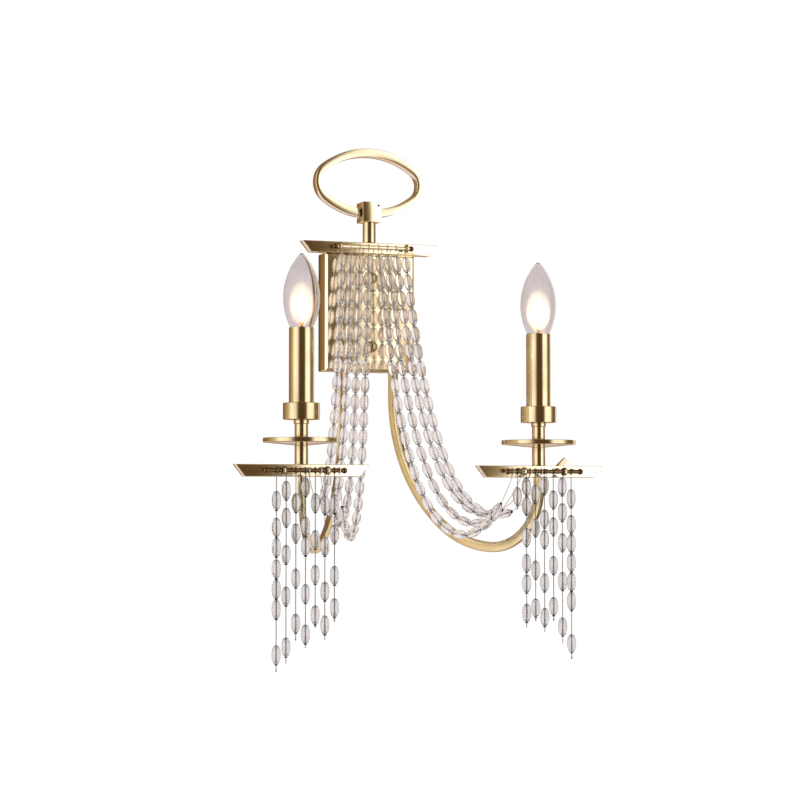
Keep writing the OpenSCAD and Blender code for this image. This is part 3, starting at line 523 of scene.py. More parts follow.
def oval(bm, half_w, half_h):
    """Edges of an oval of four arcs in the plane y = 0."""
    between = (half_w - half_h) / (1 - END_COS)
    big = half_h + END_SIN * between
    small = big - between
    end_half = math.acos(END_COS)
    long_turn = math.pi - 2 * end_half
    stages = [(half_w - small, 0, end_half), (0, half_h - big, long_turn), (small - half_w, 0, 2 * end_half),
              (0, big - half_h, long_turn), (half_w - small, 0, end_half)]
    before = set(bm.edges)
    start = bm.verts.new((half_w, 0, 0))
    last = [start]
    for x, z, angle in stages:
        turn = bmesh.ops.spin(bm, geom=last, cent=(x, 0, z), axis=(0, -1, 0), angle=angle, steps=OVAL_STEPS)
        last = [v for v in turn["geom_last"] if isinstance(v, bmesh.types.BMVert)]
    bmesh.ops.remove_doubles(bm, verts=last + [start], dist=0.01)
    return [e for e in bm.edges if e not in before]


# %% Model the ring
RING_SIDE, RING_TOP, RING_EDGE = 5.6, 8, 0.7

ring_mid = (ring_low + ring_high) / 2
half = (ring_high - ring_low) / 2
ring = bmesh.new()
outer = oval(ring, half.x, half.z)
inner = oval(ring, half.x - RING_SIDE, half.z - RING_TOP)
bmesh.ops.bridge_loops(ring, edges=outer + inner)
pushed = bmesh.ops.extrude_face_region(ring, geom=list(ring.faces))
front = [v for v in pushed["geom"] if isinstance(v, bmesh.types.BMVert)]
bmesh.ops.translate(ring, vec=(0, -2 * half.y, 0), verts=front)
bmesh.ops.translate(ring, vec=ring_mid + Vector((0, half.y, 0)), verts=ring.verts)
bmesh.ops.recalc_face_normals(ring, faces=ring.faces)
soften(ring, RING_EDGE, 3, 50)
piece("oval_ring", ring, "satin_brass", stands_for=["ring"], finish="polished_brass")

# %% [markdown]
# The stem is turned. The clamp block is three boxes that leave a slot for the
# ring: one below it, one above it, and a cheek in front.

# %% Model the stem and the clamp block
STEM_EDGE, CLAMP_EDGE, CHEEK = 0.3, 0.35, 3.2
SLOT_BELOW, SLOT_ABOVE = 0.1, 1

stem_low, stem_high = corners("top_stem")
clamp_low, clamp_high = corners("clamp_block")
stem = bmesh.new()
stem_r = (stem_high.x - stem_low.x) / 2
stem_foot = ((stem_low.x + stem_high.x) / 2, (stem_low.y + stem_high.y) / 2, top_bar_high.z)
stem_h = clamp_low.z - top_bar_high.z
stem_bottom = [(0, 0), (stem_r - STEM_EDGE, 0), (stem_r, STEM_EDGE)]
stem_top = [(stem_r, stem_h - STEM_EDGE), (stem_r - STEM_EDGE, stem_h), (0, stem_h)]
turned(stem, stem_bottom + stem_top, stem_foot)
piece("stem_top", stem, "satin_brass", stands_for=["top_stem"])

clamp = bmesh.new()
slot_low = ring_low.z - SLOT_BELOW
slot_high = ring_low.z + RING_TOP + SLOT_ABOVE
cheek_y = clamp_low.y + CHEEK
block(clamp, (clamp_low.x, cheek_y, clamp_low.z), (clamp_high.x, clamp_high.y, slot_low))
block(clamp, (clamp_low.x, cheek_y, slot_high), clamp_high)
block(clamp, clamp_low, (clamp_high.x, cheek_y, clamp_high.z))
soften(clamp, CLAMP_EDGE)
piece("ring_clamp", clamp, "polished_brass", stands_for=["clamp_block"])

# %% [markdown]
# ## Arms
# Each arm is flat tube, bent the hard way: straight down, out in two long curves,
# and up under the bar. A ring of edges with rounded corners is pushed and spun
# along that path in its own plane, and then the plane is turned to the candle.

# %% Describe the arm
ARM = {"wide": 9.5, "thin": 5, "corner": 0.9, "low": 227, "straight": 22.76, "end": 54,
       "root_x": 26.5, "root_y": 14}
FLANGE = {"r": 5, "height": 1.2, "edge": 0.25}
BEND_STEPS = {"upper": 30, "lower": 20, "end": 32}

arm_span = math.hypot(candle_x - ARM["root_x"], -candle_y - ARM["root_y"])
arm_turn = -math.atan2(-candle_y - ARM["root_y"], candle_x - ARM["root_x"])


def arm_ring(bm):
    """The tube's section: a rectangle whose corners are bevelled round."""
    wide, thin = ARM["wide"] / 2, ARM["thin"] / 2
    rectangle = ((-wide, -thin), (wide, -thin), (wide, thin), (-wide, thin))
    face = bm.faces.new([bm.verts.new((x, y, 0)) for x, y in rectangle])
    bmesh.ops.bevel(bm, geom=list(face.verts), offset=ARM["corner"], segments=3, affect="VERTICES",
                    profile=0.5, material=-1)
    edges = list(bm.edges)
    bmesh.ops.delete(bm, geom=list(bm.faces), context="FACES_ONLY")
    return edges + list(bm.verts)


# %% [markdown]
# The first two bends share a tangent whose cosine is 0.6, which is the ring's
# number too. Reach and drop then fix both radii: the lower one is twice the reach
# less the drop, and the upper one is half of three drops less one reach.

# %% Model the arms
def arm(side, sign):
    made = bmesh.new()
    last = arm_ring(made)
    turn = math.acos(END_COS)
    top_z = box_low.z - FLANGE["height"]
    bend_z = top_z - ARM["straight"]
    low_z = -ARM["low"]
    reach, drop = arm_span - ARM["end"], bend_z - low_z
    lower_r = 2 * reach - drop
    upper_r = (3 * drop - reach) / 2
    bmesh.ops.translate(made, vec=(0, 0, top_z), verts=made.verts)

    def straight(geom, dz):
        edges = [e for e in geom if isinstance(e, bmesh.types.BMEdge)]
        grown = bmesh.ops.extrude_edge_only(made, edges=edges)["geom"]
        verts = [v for v in grown if isinstance(v, bmesh.types.BMVert)]
        bmesh.ops.translate(made, vec=(0, 0, dz), verts=verts)
        return verts + [e for e in grown if isinstance(e, bmesh.types.BMEdge)]

    def bend(geom, s, z, angle, steps):
        spun = bmesh.ops.spin(made, geom=geom, cent=(s, 0, z), axis=(0, -1, 0), angle=angle, steps=steps)
        return [g for g in spun["geom_last"] if not isinstance(g, bmesh.types.BMFace)]

    last = straight(last, bend_z - top_z)
    last = bend(last, upper_r, bend_z, turn, BEND_STEPS["upper"])
    last = bend(last, reach, low_z + lower_r, math.pi / 2 - turn, BEND_STEPS["lower"])
    last = bend(last, reach, low_z + ARM["end"], math.pi / 2, BEND_STEPS["end"])
    straight(last, low_bar_low.z - (low_z + ARM["end"]))
    bmesh.ops.holes_fill(made, edges=made.edges, sides=0)
    r, height, edge = FLANGE["r"], FLANGE["height"], FLANGE["edge"]
    turned(made, [(0, 0), (r - edge, 0), (r, edge), (r, height), (0, height)], (0, 0, top_z), steps=40)
    place = Matrix.Translation((ARM["root_x"], -ARM["root_y"], 0)) @ Matrix.Rotation(arm_turn, 4, "Z")
    bmesh.ops.transform(made, matrix=Matrix.Diagonal((sign, 1, 1, 1)) @ place, verts=made.verts)
    piece(f"tube_arm_{side}", made, "satin_brass", stands_for=[f"arm_{side}"], crease=50)


for side, sign in SIDES.items():
    arm(side, sign)

# %% [markdown]
# ## Candles
# Stem, disc, collar, cup and sleeve are turned from tube and bar. Their outlines
# have small rounds at each lip, where the plating shines brightest.


# %% Round an outline and turn it on a candle's axis
def rounded(outline, radius, steps=3):
    """Rounds the inner corners of an outline of (radius, height) pairs."""
    soft = [outline[0]]
    for before, here, after in zip(outline, outline[1:], outline[2:]):
        b, h, a = Vector(before), Vector(here), Vector(after)
        cut = min(radius, (b - h).length * 0.45, (a - h).length * 0.45)
        p, q = h + (b - h).normalized() * cut, h + (a - h).normalized() * cut
        for i in range(steps + 1):
            t = i / steps
            soft.append(tuple(p * (1 - t) ** 2 + h * 2 * t * (1 - t) + q * t ** 2))
    return soft + [outline[-1]]


def candle_part(name, node, side, outlines, radius, steps):
    made = bmesh.new()
    for outline in outlines:
        turned(made, rounded(outline, radius), CANDLE_AXIS[side], steps=steps)
    piece(f"{name}_{side}", made, "satin_brass", stands_for=[f"{node}_{side}"])


# %% Model the turned parts of a candle
BORE = 4.2
DISC = {"hub": 8, "deep": 4.1, "sheet": 2, "turn_up": 3, "lip": 2, "lip_foot": 3.5}
DISC_EDGE_IN, DISC_EDGE_UP = 0.4, 0.5
CUP_WALL, CUP_FLOOR = 1.5, 2
SLEEVE_WALL, SLEEVE_FOOT = 0.8, 0.1

disc_floor = disc_high.z - DISC["deep"] + DISC["sheet"]
disc_turn = disc_low.z + DISC["turn_up"]
disc_r = (disc_high.x - disc_low.x) / 2
cup_r = (cup_high.x - cup_low.x) / 2
cup_inside, cup_floor = cup_r - CUP_WALL, cup_low.z + CUP_FLOOR
sleeve_r = (sleeve_high.x - sleeve_low.x) / 2
sleeve_inside = sleeve_r - SLEEVE_WALL

disc_outline = [
    (BORE, disc_low.z), (DISC["hub"], disc_low.z),
    (disc_r - DISC_EDGE_IN, disc_turn - DISC_EDGE_UP), (disc_r, disc_turn),
    (disc_r, disc_high.z), (disc_r - DISC["lip"], disc_high.z),
    (disc_r - DISC["lip_foot"], disc_floor), (BORE, disc_floor)]
cup_outline = [
    (BORE, cup_low.z), (cup_r, cup_low.z), (cup_r, cup_high.z), (cup_inside, cup_high.z),
    (cup_inside, cup_floor), (BORE, cup_floor)]
sleeve_outline = [
    (sleeve_inside, sleeve_low.z), (sleeve_r, sleeve_low.z), (sleeve_r, sleeve_high.z),
    (sleeve_inside, sleeve_high.z), (sleeve_inside, sleeve_low.z + SLEEVE_FOOT)]


def pipe(r, low_z, high_z):
    """The outline of a length of pipe that hides the threaded tube."""
    return [(BORE, low_z), (r, low_z), (r, high_z), (BORE, high_z)]


for side in SIDES:
    low, high = corners(f"candle_stem_{side}")
    stem_r = (high.x - low.x) / 2
    lengths = [pipe(stem_r, low.z, disc_low.z), pipe(stem_r, disc_floor, high.z)]
    candle_part("stem_candle", "candle_stem", side, lengths, 0.3, 48)
    candle_part("drip_disc", "disc", side, [disc_outline], 0.5, 96)
    candle_part("candle_cup", "cup", side, [cup_outline], 0.6, 80)
    candle_part("candle_tube", "sleeve", side, [sleeve_outline], 0.3, 72)

collars = bmesh.new()
low, high = corners("collars")
for side in SIDES:
    turned(collars, rounded(pipe(high.x - candle_x, low.z, high.z), 0.5), CANDLE_AXIS[side])
piece("candle_collars", collars, "satin_brass", stands_for=["collars"])

# %% [markdown]
# ## Bulbs
# A candle bulb is a thin pointed glass on a screw base. The glass is one closed
# wall: the outline runs up the outside and down the inside, and is spun. Inside
# stand a pressed glass mount with a painted orange glow dot on its tip, two
# support wires and a coiled filament. The glow round them is a nest of thin shells.

# %% Describe a bulb
# The belly, filament and glow are so far over the sleeve and the neck is below
# its top, while the bulb's own top is measured from the belly
BULB = {"radius": 16.6, "arc": 60, "belly": 26.9, "top": 40.1, "tip_r": 1.6, "tip_wall": 2.5, "neck": 18.1,
        "wall": 0.8, "base_r": 5.95, "filament": 16.4, "glow": 22}
TIP_END = (0.9, 0.35)
GLASS_STEPS = 22
# The base's outline below the neck, and a thread's by radius and share of pitch
BASE_FOOT = [(0, -21.2), (3.4, -21.2), (3.5, -19.7), (5, -18.2)]
BASE_TOP = [(5.9, -0.6), (5.9, 0), (0, 0)]
THREAD = [(5.35, 0), (5.85, 0.3), (5.85, 0.5), (5.35, 0.85)]
THREADS, THREAD_START, PITCH = 6, -17.4, 2.6
# Each glow shell is so far across and so far up from its middle
HALO = [(2.2, 5.5), (3.6, 7.5), (5, 9.5), (6.4, 11.5), (7.8, 13.5), (9.2, 15.5), (10.4, 17.5), (11.4, 19.5)]
# The mount's foot and waist are measured up from the neck, its tip down from the
# filament, and the two posts start at its shoulder
MOUNT = {"foot": -0.5, "foot_r": 4, "waist": 7, "waist_r": 2.1, "tip": 14, "tip_r": 1.6, "shoulder": 1,
         "round": 0.8}
GLOW_DOT_R, GLOW_DOT_UP = 1.6, 1.2
POST_R, POST_X = 0.28, 1.75
COIL = {"r": 1.1, "wire": 0.3, "turns": 8, "length": 8, "steps": 96}


def glass_wall(inset, top_z):
    """Points up one side of the glass, from the neck to near the tip."""
    centre = BULB["radius"] - BULB["arc"]
    radius = BULB["arc"] - inset
    belly = top_z + BULB["belly"]
    start = -math.degrees(math.asin(BULB["belly"] / radius))
    end = math.degrees(math.acos((BULB["tip_r"] - centre) / radius))
    foot = (BULB["base_r"] - inset, top_z - BULB["neck"])
    tip_h = belly + BULB["top"] - inset * BULB["tip_wall"]
    side_points = arc((centre, belly), radius, start, end, GLASS_STEPS)
    return [foot] + side_points + [(TIP_END[0], tip_h - TIP_END[1]), (0, tip_h)]


# %% Model the bulbs
def bulb(side):
    body = f"bulb_{side}"
    centre = Vector(CANDLE_AXIS[side])
    top_z = sleeve_high.z
    neck_z = top_z - BULB["neck"]
    coil_z = top_z + BULB["filament"]

    glass = bmesh.new()
    turned(glass, glass_wall(0, top_z) + glass_wall(BULB["wall"], top_z)[::-1], centre, steps=64)
    bmesh.ops.bridge_loops(glass, edges=[e for e in glass.edges if e.is_boundary])
    piece(f"candle_bulb_{side}", glass, "bulb_glass", body, [f"bulb_glass_{side}"])

    base = bmesh.new()
    threads = [(r, THREAD_START + (i + share) * PITCH) for i in range(THREADS) for r, share in THREAD]
    turned(base, BASE_FOOT + threads + BASE_TOP, centre + Vector((0, 0, neck_z)), steps=40)
    piece(f"screw_base_{side}", base, "bulb_metal", body, [f"bulb_base_{side}"])

    mount = bmesh.new()
    foot_z, waist_z, tip_z = neck_z + MOUNT["foot"], neck_z + MOUNT["waist"], coil_z - MOUNT["tip"]
    shoulder_z = tip_z - MOUNT["shoulder"]
    outline = [(0, foot_z), (MOUNT["foot_r"], foot_z), (MOUNT["waist_r"], waist_z),
               (MOUNT["tip_r"], shoulder_z), (0, tip_z)]
    turned(mount, rounded(outline, MOUNT["round"]), centre, steps=24)
    piece(f"bulb_mount_{side}", mount, "bulb_glass", body)
    # An orange dot of painted glow on the mount's tip
    painted_glow_dot = bmesh.new()
    turned(painted_glow_dot, arc((0, tip_z + GLOW_DOT_UP), GLOW_DOT_R, -90, 90, 10), centre, steps=20)
    piece(f"mount_dot_{side}", painted_glow_dot, "bulb_glass", body, finish="painted_glow_dot")

    glow = bmesh.new()
    for across, up in HALO:
        made = bmesh.ops.create_uvsphere(glow, u_segments=40, v_segments=24, radius=1)["verts"]
        bmesh.ops.scale(glow, vec=(across, across, up), verts=made)
        bmesh.ops.translate(glow, vec=centre + Vector((0, 0, top_z + BULB["glow"])), verts=made)
    piece(f"halo_{side}", glow, "bulb_glass", body, finish="halo")

    posts = bmesh.new()
    post = [(0, shoulder_z), (POST_R, shoulder_z), (POST_R, coil_z), (0, coil_z)]
    for end in (-1, 1):
        turned(posts, post, centre + Vector((end * POST_X, 0, 0)), steps=10)
    piece(f"filament_posts_{side}", posts, "bulb_metal", body)

    coil = bmesh.new()
    section = bmesh.ops.create_circle(coil, segments=6, radius=COIL["wire"])["verts"]
    start = Matrix.Translation((-COIL["length"] / 2, COIL["r"], 0)) @ TO_SIDE
    bmesh.ops.transform(coil, matrix=start, verts=section)
    bmesh.ops.spin(coil, geom=list(coil.verts) + list(coil.edges), cent=(0, 0, 0), axis=(1, 0, 0),
                   angle=2 * math.pi * COIL["turns"], steps=COIL["steps"],
                   dvec=(COIL["length"] / COIL["steps"], 0, 0))
    bmesh.ops.holes_fill(coil, edges=coil.edges, sides=0)
    bmesh.ops.translate(coil, vec=centre + Vector((0, 0, coil_z)), verts=coil.verts)
    piece(f"filament_{side}", coil, "bulb_metal", body, finish="filament_glow")


for side in SIDES:
    bulb(side)

# %% [markdown]
# ## Rods, eyes and knobs
# A thin rod runs in front of each bar. It is held by two eyes with shanks in the
# bar, and ends in two ball knobs. All of them are turned pieces laid on their side.

# %% Model the rods
ROD_R, ROD_EDGE, KNOB_R = 1.9, 0.1, 2.8
EYE = [(2, -1.2), (4, -1.2), (4, 1.2), (2, 1.2)]
SHANK = [(0, 2.7), (1.5, 2.7), (1.5, 12), (0, 12)]
# The rod's node and middle, how far out its eyes and knobs are, and its finish
RODS = {
    "top": ("top_rod", 0, 34.2, 38.9, "polished_brass"),
    # The two lower rods are drawn in dark brass as painted shade; the top rod is polished
    "left": ("lower_rod_left", -candle_x, 20.3, 36.2, "dark_brass"),
    "right": ("lower_rod_right", candle_x, 20.3, 36.2, "dark_brass"),
}

eyes = bmesh.new()
knobs = bmesh.new()
eye_outline = rounded(EYE, 0.35) + EYE[:1]
for name, (node, middle, eye_at, knob_at, finish) in RODS.items():
    low, high = corners(node)
    y, z = (low.y + high.y) / 2, (low.z + high.z) / 2
    made = bmesh.new()
    start = [(0, low.x), (ROD_R - ROD_EDGE, low.x), (ROD_R, low.x + ROD_EDGE)]
    end = [(ROD_R, high.x - ROD_EDGE), (ROD_R - ROD_EDGE, high.x), (0, high.x)]
    turned(made, start + end, (0, y, z), TO_SIDE, 24)
    piece(f"rod_{name}", made, "dark_brass", stands_for=[node], finish=finish)
    for way in (-1, 1):
        turned(eyes, eye_outline, (middle + way * eye_at, y, z), TO_SIDE, 32)
        turned(eyes, SHANK, (middle + way * eye_at, y, z), TO_BACK, 20)
        turned(knobs, arc((0, 0), KNOB_R, -90, 90, 14), (middle + way * knob_at, y, z), TO_SIDE, 28)
piece("eyes", eyes, "satin_brass", stands_for=["rod_eyes"])
piece("knobs", knobs, "dark_brass", stands_for=["rod_knobs"])

# %% [markdown]
# ## Beads
# All beads are alike: a long oval with a fine bore for the wire. One bead is spun
# from an arc and a straight bore with few faces, because it is used more than 200
# times. Each copy is turned to lie along its wire. A power below 1 makes the oval
# a little fuller than an ellipse, and its ends are cut flat round the bore.

# %% Make one bead
BEAD = {"r": 4.38, "fullness": 0.8, "tip": 1.1, "bore": 0.7, "half": 8.4, "step": 17.4, "on_wire": 16.85}

bead_side = [(max(BEAD["r"] * abs(c) ** BEAD["fullness"], BEAD["tip"]), s * BEAD["half"])
             for c, s in arc((0, 0), 1, -90, 90, 6)]
bead_bore = [(BEAD["bore"], BEAD["half"]), (BEAD["bore"], -BEAD["half"])]
template = bmesh.new()
turned(template, bead_side + bead_bore, steps=10, closed=True)
bmesh.ops.remove_doubles(template, verts=template.verts, dist=MERGE)
bmesh.ops.recalc_face_normals(template, faces=template.faces)
bead_mesh = bpy.data.meshes.new("one_bead")
template.to_mesh(bead_mesh)
template.free()
print("one bead has", len(bead_mesh.polygons), "faces")


def facing(along):
    """Turns what is made along z to another direction."""
    return Vector((0, 0, 1)).rotation_difference(along).to_matrix().to_4x4()


def add_bead(bm, start, end):
    """Adds a bead with its middle between two points of its wire."""
    before = set(bm.verts)
    bm.from_mesh(bead_mesh)
    place = Matrix.Translation((start + end) / 2) @ facing(end - start)
    bmesh.ops.transform(bm, matrix=place, verts=[v for v in bm.verts if v not in before])


# %% [markdown]
# ## Wires, crimps and loops
# A wire is a ring of edges pushed from point to point. The crimps are small black
# tubes that hold the beads, and each strand ends in a loop round its rod.

# %% Helpers for strands
WIRE_R = 0.34
LOOP_R, LOOP_WIRE = 2.75, 0.45
CRIMP = [(0, -0.1), (1.2, -0.1), (1.5, 0.1), (1.5, 0.65), (1.2, 0.85), (0, 0.85)]


def tube(bm, points, radius):
    """Pushes a ring of edges along the points and closes both ends."""
    ring_verts = bmesh.ops.create_circle(bm, segments=6, radius=radius)["verts"]
    edges = list({e for v in ring_verts for e in v.link_edges})
    place = STAYS
    first = edges
    for i, here in enumerate(points):
        ahead = points[min(i + 1, len(points) - 1)] - points[max(i - 1, 0)]
        new_place = Matrix.Translation(here) @ facing(ahead)
        verts = list({v for e in edges for v in e.verts})
        if i:
            grown = bmesh.ops.extrude_edge_only(bm, edges=edges)["geom"]
            verts = [g for g in grown if isinstance(g, bmesh.types.BMVert)]
            edges = [g for g in grown if isinstance(g, bmesh.types.BMEdge)]
        bmesh.ops.transform(bm, matrix=new_place @ place.inverted(), verts=verts)
        place = new_place
    bmesh.ops.holes_fill(bm, edges=first + edges, sides=0)


def loop(bm, centre, radius=LOOP_R, thick=LOOP_WIRE):
    """A small ring of wire round a point."""
    outline = arc((radius, 0), thick, 0, 360, 6)[:-1]
    turned(bm, outline, centre, TO_SIDE, 16, closed=True)


def crimp(bm, top, along):
    """A short black tube under a bead."""
    turned(bm, CRIMP, top, facing(along), 10)


# %% [markdown]
# ## Swags
# A strand that hangs between two points takes the shape of a hanging chain. Its
# formula gives the place of every bead from the strand's length alone. The size
# of the chain is found by halving, as a cable maker would by trial.

# %% The hanging chain
SMALLEST, LARGEST, HALVINGS = 8, 4000, 45


def hanging_chain(start, end, length):
    """Gives the function from a length along the strand to its point."""
    across = Vector((end.x - start.x, end.y - start.y, 0))
    span, rise = across.length, end.z - start.z
    want = math.sqrt(length ** 2 - rise ** 2)
    low, high = SMALLEST, LARGEST
    for _ in range(HALVINGS):
        size = (low + high) / 2
        if 2 * size * math.sinh(span / (2 * size)) > want:
            low = size
        else:
            high = size
    phase = span / 2 - size * math.atanh(rise / length)

    def at(distance):
        s = phase + size * math.asinh(distance / size + math.sinh(-phase / size))
        z = size * (math.cosh((s - phase) / size) - math.cosh(phase / size))
        return start + across * (s / span) + Vector((0, 0, z))

    return at


# %% Model the swags
# Each row: wire length, beads, bare wire above the first bead, and how far from
# the candle towards the middle the strand ends on the lower rod
SWAGS = {
    "right": [(399, 21, 4, 31.5), (380, 19, 3.8, 22.5), (364, 18, 4, 14), (367, 18, 4.6, 3)],
    "left": [(402, 21, 3.6, 31.5), (380, 19, 4.2, 22.5), (361, 18, 4, 14), (346, 16, 4, 3)],
}
SWAG_FIRST, SWAG_PITCH, FOOT_STEPS = 5.1, 9.05, 4
LOOP_DROP = Vector((0, 0, 3.3))


def middle_of(node):
    low, high = corners(node)
    return (low + high) / 2


top_rod = middle_of("top_rod")
low_rod = middle_of("lower_rod_right")

for side, sign in SIDES.items():
    beads, wires, crimps = bmesh.new(), bmesh.new(), bmesh.new()
    for i, (length, count, lead, inward) in enumerate(SWAGS[side]):
        on_top_rod = Vector((sign * (SWAG_FIRST + i * SWAG_PITCH), top_rod.y, top_rod.z))
        on_low_rod = Vector((sign * (candle_x - inward), low_rod.y, low_rod.z))
        head = on_top_rod - LOOP_DROP
        at = hanging_chain(head, on_low_rod - LOOP_DROP, length)
        path = [head]
        for n in range(count):
            along = lead + n * BEAD["step"]
            upper, lower = at(along), at(along + BEAD["on_wire"])
            add_bead(beads, upper, lower)
            path += [upper, lower]
        crimp(crimps, lower, lower - upper)
        used = along + BEAD["on_wire"]
        path += [at(used + (length - used) * n / FOOT_STEPS) for n in range(1, FOOT_STEPS + 1)]
        tube(wires, path, WIRE_R)
        loop(wires, on_top_rod)
        loop(wires, on_low_rod)
    piece(f"swag_beads_{side}", beads, "clear_beads", stands_for=[f"swags_{side}"], crease=180)
    piece(f"swag_strings_{side}", wires, "strand_wire", stands_for=[f"swag_wires_{side}"],
          finish="bright_wire")
    piece(f"swag_crimps_{side}", crimps, "strand_wire", finish="crimp_black")

# %% [markdown]
# ## Fringe
# Seven straight strands hang from each lower rod and swing on it. A strand is a
# list of gaps: the bare wire before each bead, and then the tail below the last
# one. Every other tail ends in a small loop.

# %% Model the fringe
FRINGE = {
    "left": [([15, 7, 1, 2, 1, 1, 23], 6.7), ([6, 7, 16, 20, 28], 6), ([17, 10, 23, 23], 7),
             ([3, 18, 1, 25, 19], 4), ([17, 16, 14, 19], 3), ([19, 20, 23, 13], 5), ([18, 10, 20, 12], 4)],
    "right": [([11], 4), ([2, 1, 12, 7, 2, 10], 5), ([9, 14, 22, 18], 4), ([1, 14, 2, 23, 15], 5),
              ([14, 8, 19, 21], 5), ([2, 7, 11, 19, 25], 7), ([13, 7, 1, 1, 1, 1, 22], 6)],
}
FRINGE_PITCH, FRINGE_MIDDLE, FRINGE_WIRE, CRIMP_GAP = 9, 4, 1.2, 0.1
END_LOOP_R, END_LOOP_WIRE, END_LOOP_OVERLAP = 1, 0.3, 0.1
DOWN = Vector((0, 0, -1))


def fringe_strand(side, number, gaps, tail):
    body = f"fringe_{side}_{number}"
    x = SIDES[side] * candle_x + (number - FRINGE_MIDDLE) * FRINGE_PITCH
    on_rod = Vector((x, low_rod.y, low_rod.z))
    here = on_rod - LOOP_DROP
    beads, wires, crimps = bmesh.new(), bmesh.new(), bmesh.new()
    path = [here]
    loop(wires, on_rod)
    for gap in gaps:
        top = here + DOWN * gap
        here = top + DOWN * 2 * BEAD["half"]
        add_bead(beads, here, top)
        crimp(crimps, here + DOWN * CRIMP_GAP, DOWN)
        path += [top, here]
    if number % 2:
        loop_middle = tail - END_LOOP_R - END_LOOP_WIRE
        loop(wires, here + DOWN * loop_middle, END_LOOP_R, END_LOOP_WIRE)
        path.append(here + DOWN * (loop_middle - END_LOOP_R + END_LOOP_OVERLAP))
    else:
        path.append(here + DOWN * tail)
    tube(wires, path, WIRE_R * FRINGE_WIRE)
    piece(f"strand_{side}_{number}", beads, "clear_beads", body, [body], 180, "smoky_beads")
    piece(f"strand_wire_{side}_{number}", wires, "clear_beads", body, finish="strand_wire")
    piece(f"strand_crimps_{side}_{number}", crimps, "clear_beads", body, finish="crimp_black")


for side in SIDES:
    for number, (gaps, tail) in enumerate(FRINGE[side], 1):
        fringe_strand(side, number, gaps, tail)

# %% [markdown]
# ## Finishes for the CAD pieces that stay
# The strap, studs, screws, nuts, threaded tubes, connectors, sockets and leads are
# right as they are. They only get their finish, by the slot that the record gives.

# %% Finish the carried-over nodes
slot_of = {part["node"]: part["material_slot"] for part in frame["record"]["subparts"]}
for node, shown in frame["nodes"].items():
    if not shown.hide_render:
        shown.data.materials.clear()
        shown.data.materials.append(finishes[slot_of[node]])
        print("kept from CAD:", node)

# %% [markdown]
# ## Floor and studio
# Brass shows what stands round it. Here the reflections come from a ring of soft
# panels: bright ones to the left and right, a dark gap in front, and brown and
# gold behind, with darkness over and under them. The camera sees plain white, and
# so do dull surfaces, while light that comes through glass finds a pale backdrop
# with a warm patch in front. The floor shows in no reflection and in no glass.

# %% Set the floor
FLOOR_Z, FLOOR_R = -0.62, 3
FLOOR_PALE, FLOOR_SHADE, FLOOR_GLOW = (0.9, 0.9, 0.9), (0.88, 0.88, 0.88), 0.35

floor_mesh = bmesh.new()
bmesh.ops.create_circle(floor_mesh, segments=96, radius=FLOOR_R, cap_ends=True)
bmesh.ops.translate(floor_mesh, vec=(0, 0, FLOOR_Z), verts=floor_mesh.verts)
mesh = bpy.data.meshes.new("floor")
floor_mesh.to_mesh(mesh)
floor_mesh.free()
floor = bpy.data.objects.new("floor", mesh)
bpy.context.scene.collection.objects.link(floor)
floor.visible_glossy = False
floor.visible_transmission = False
floor_finish, graph, place = new_finish("pale_floor")
principled(graph, {
    "Base Color": graph.mix(graph.noise(place, 3), FLOOR_PALE, FLOOR_SHADE),
    "Roughness": 0.9,
    "Emission Color": (1, 1, 1, 1),
    "Emission Strength": FLOOR_GLOW,
})
mesh.materials.append(floor_finish)

# %% Set the studio round the light
WHITE, CREAM, GOLD = (0.86, 0.86, 0.83), (0.66, 0.62, 0.54), (0.42, 0.34, 0.2)
OLIVE, BROWN, DARK = (0.17, 0.13, 0.065), (0.2, 0.1, 0.04), (0.05, 0.028, 0.01)
LOW_BACK, OVER_AND_UNDER = (0.42, 0.37, 0.36), (0.14, 0.095, 0.05)
PALE, WARM = (1, 0.98, 0.985), (1, 0.88, 0.68)
PANEL_LIGHT, WHITE_LIGHT = 2.05, 1.02
BEHIND_LIGHT, AHEAD_LIGHT, LEAST_LIGHT = 0.44, 0.95, 0.46
# Degrees to the right of the front, and what stands there
ROOM = [(-180, DARK), (-160, BROWN), (-140, OLIVE), (-105, GOLD), (-84, WHITE), (-52, CREAM), (-38, DARK),
        (9, DARK), (16.1, OLIVE), (17.4, CREAM), (20.5, CREAM), (24, WHITE), (58, WHITE), (72, OLIVE),
        (104, DARK), (122, CREAM), (140, GOLD), (160, BROWN)]

world = bpy.data.worlds.new("studio")
bpy.context.scene.world = world
world.use_nodes = True
graph = Graph(world.node_tree)
rays = graph.node("ShaderNodeLightPath")


def background(colour, strength):
    values = {"Color": solid(colour), "Strength": strength}
    return graph.node("ShaderNodeBackground", values)["Background"]


def by_ray(kind, others, these):
    """One shader for a kind of ray and another for the rest."""
    return graph.node("ShaderNodeMixShader", {0: rays[kind], 1: others, 2: these})["Shader"]


direction = graph.node("ShaderNodeTexCoord")["Generated"]
parts = graph.node("ShaderNodeSeparateXYZ", {"Vector": direction})
x, y, z = parts["X"], parts["Y"], parts["Z"]
azimuth = x.sum_with("ARCTAN2", x, y * -1.0) * (0.5 / math.pi) + 0.5
stops = [((degrees + 180) / 360, colour) for degrees, colour in ROOM]
around = graph.node("ShaderNodeValToRGB", {"Fac": azimuth}, stops)["Color"]
low_back = y.smooth(0.2, 0.5) * (1 - z.smooth(-0.3, -0.14))
panels = graph.mix((z * z).smooth(0.25, 0.6), graph.mix(low_back, around, LOW_BACK), OVER_AND_UNDER)
ahead = 1 - y.smooth(-0.92, -0.6)
backdrop_light = y.smooth(-0.6, 0.4) * BEHIND_LIGHT + ahead * AHEAD_LIGHT + LEAST_LIGHT
backdrop = background(graph.mix(ahead, PALE, WARM), backdrop_light)
seen = background((1, 1, 1), WHITE_LIGHT)
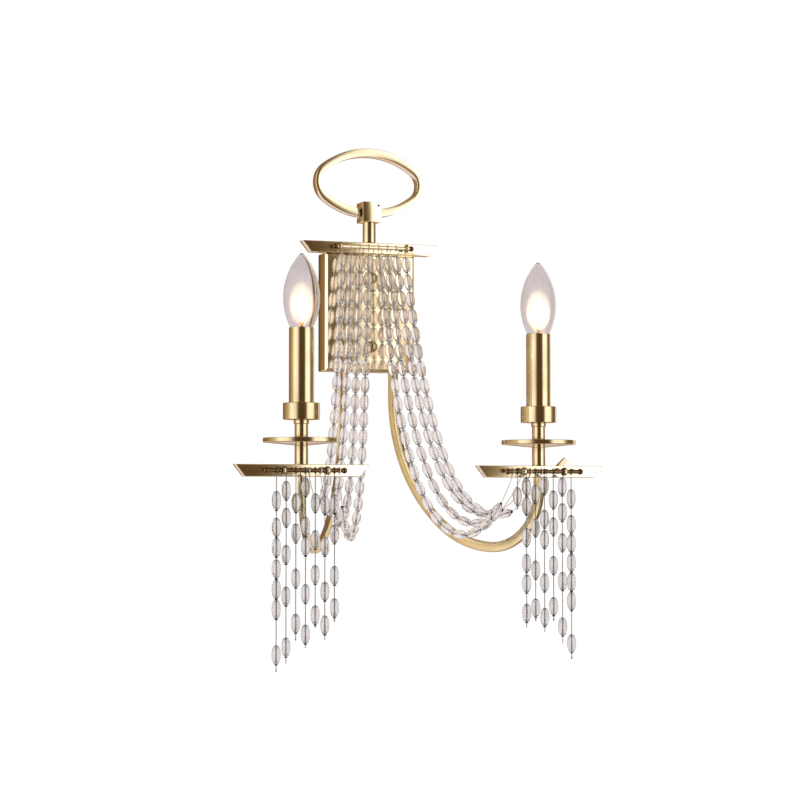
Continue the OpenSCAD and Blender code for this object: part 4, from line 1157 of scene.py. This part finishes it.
reflected = by_ray("Is Glossy Ray", seen, background(panels, PANEL_LIGHT))
refracted = by_ray("Is Transmission Ray", reflected, backdrop)
graph.node("ShaderNodeOutputWorld", {"Surface": by_ray("Is Camera Ray", refracted, seen)})


# %% Add the lamps
def add_lamp(name, lamp, place):
    made = bpy.data.objects.new(name, lamp)
    made.location = place
    bpy.context.scene.collection.objects.link(made)
    return made


def soft_light(name, place, target, size, power):
    """A square lamp that no ray sees, pointed at its target."""
    lamp = bpy.data.lights.new(name, "AREA")
    lamp.size, lamp.energy = size, power
    made = add_lamp(name, lamp, place)
    made.rotation_euler = (Vector(target) - Vector(place)).to_track_quat("-Z", "Y").to_euler()
    made.visible_camera = made.visible_glossy = made.visible_transmission = False


soft_light("key", (-1.6, -2.0, 1.8), (0, 0, 0), 1.6, 40)
soft_light("fill", (2.2, -1.2, 0.8), (0, 0, 0), 1.6, 24)
soft_light("floor_wash", (0, 3.0, 2.6), (0, 3.4, FLOOR_Z), 3.0, 120)

GLOW_POWER, GLOW_COLOUR, GLOW_SIZE = 0.5, (1, 0.8, 0.55), 0.004
glow_z = sleeve_high.z + BULB["filament"]
for side, sign in SIDES.items():
    lamp = bpy.data.lights.new(f"glow_{side}", "POINT")
    lamp.energy, lamp.color, lamp.shadow_soft_size = GLOW_POWER, GLOW_COLOUR, GLOW_SIZE
    made = add_lamp(f"glow_{side}", lamp, (sign * candle_x * MM, candle_y * MM, glow_z * MM))
    made.parent = frame["bodies"][f"bulb_{side}"]

# %% [markdown]
# ## Picture settings
# The standard view keeps whites white, as in a catalogue. Light may pass through
# many layers of bead and glass, and a limit holds back stray bright dots.

# %% Set the view and the light paths
BOUNCES, BRIGHTEST_INDIRECT = 16, 8

scene = bpy.context.scene
scene.view_settings.view_transform = "Standard"
scene.cycles.max_bounces = BOUNCES
scene.cycles.transmission_bounces = BOUNCES
scene.cycles.transparent_max_bounces = BOUNCES
scene.cycles.sample_clamp_indirect = BRIGHTEST_INDIRECT
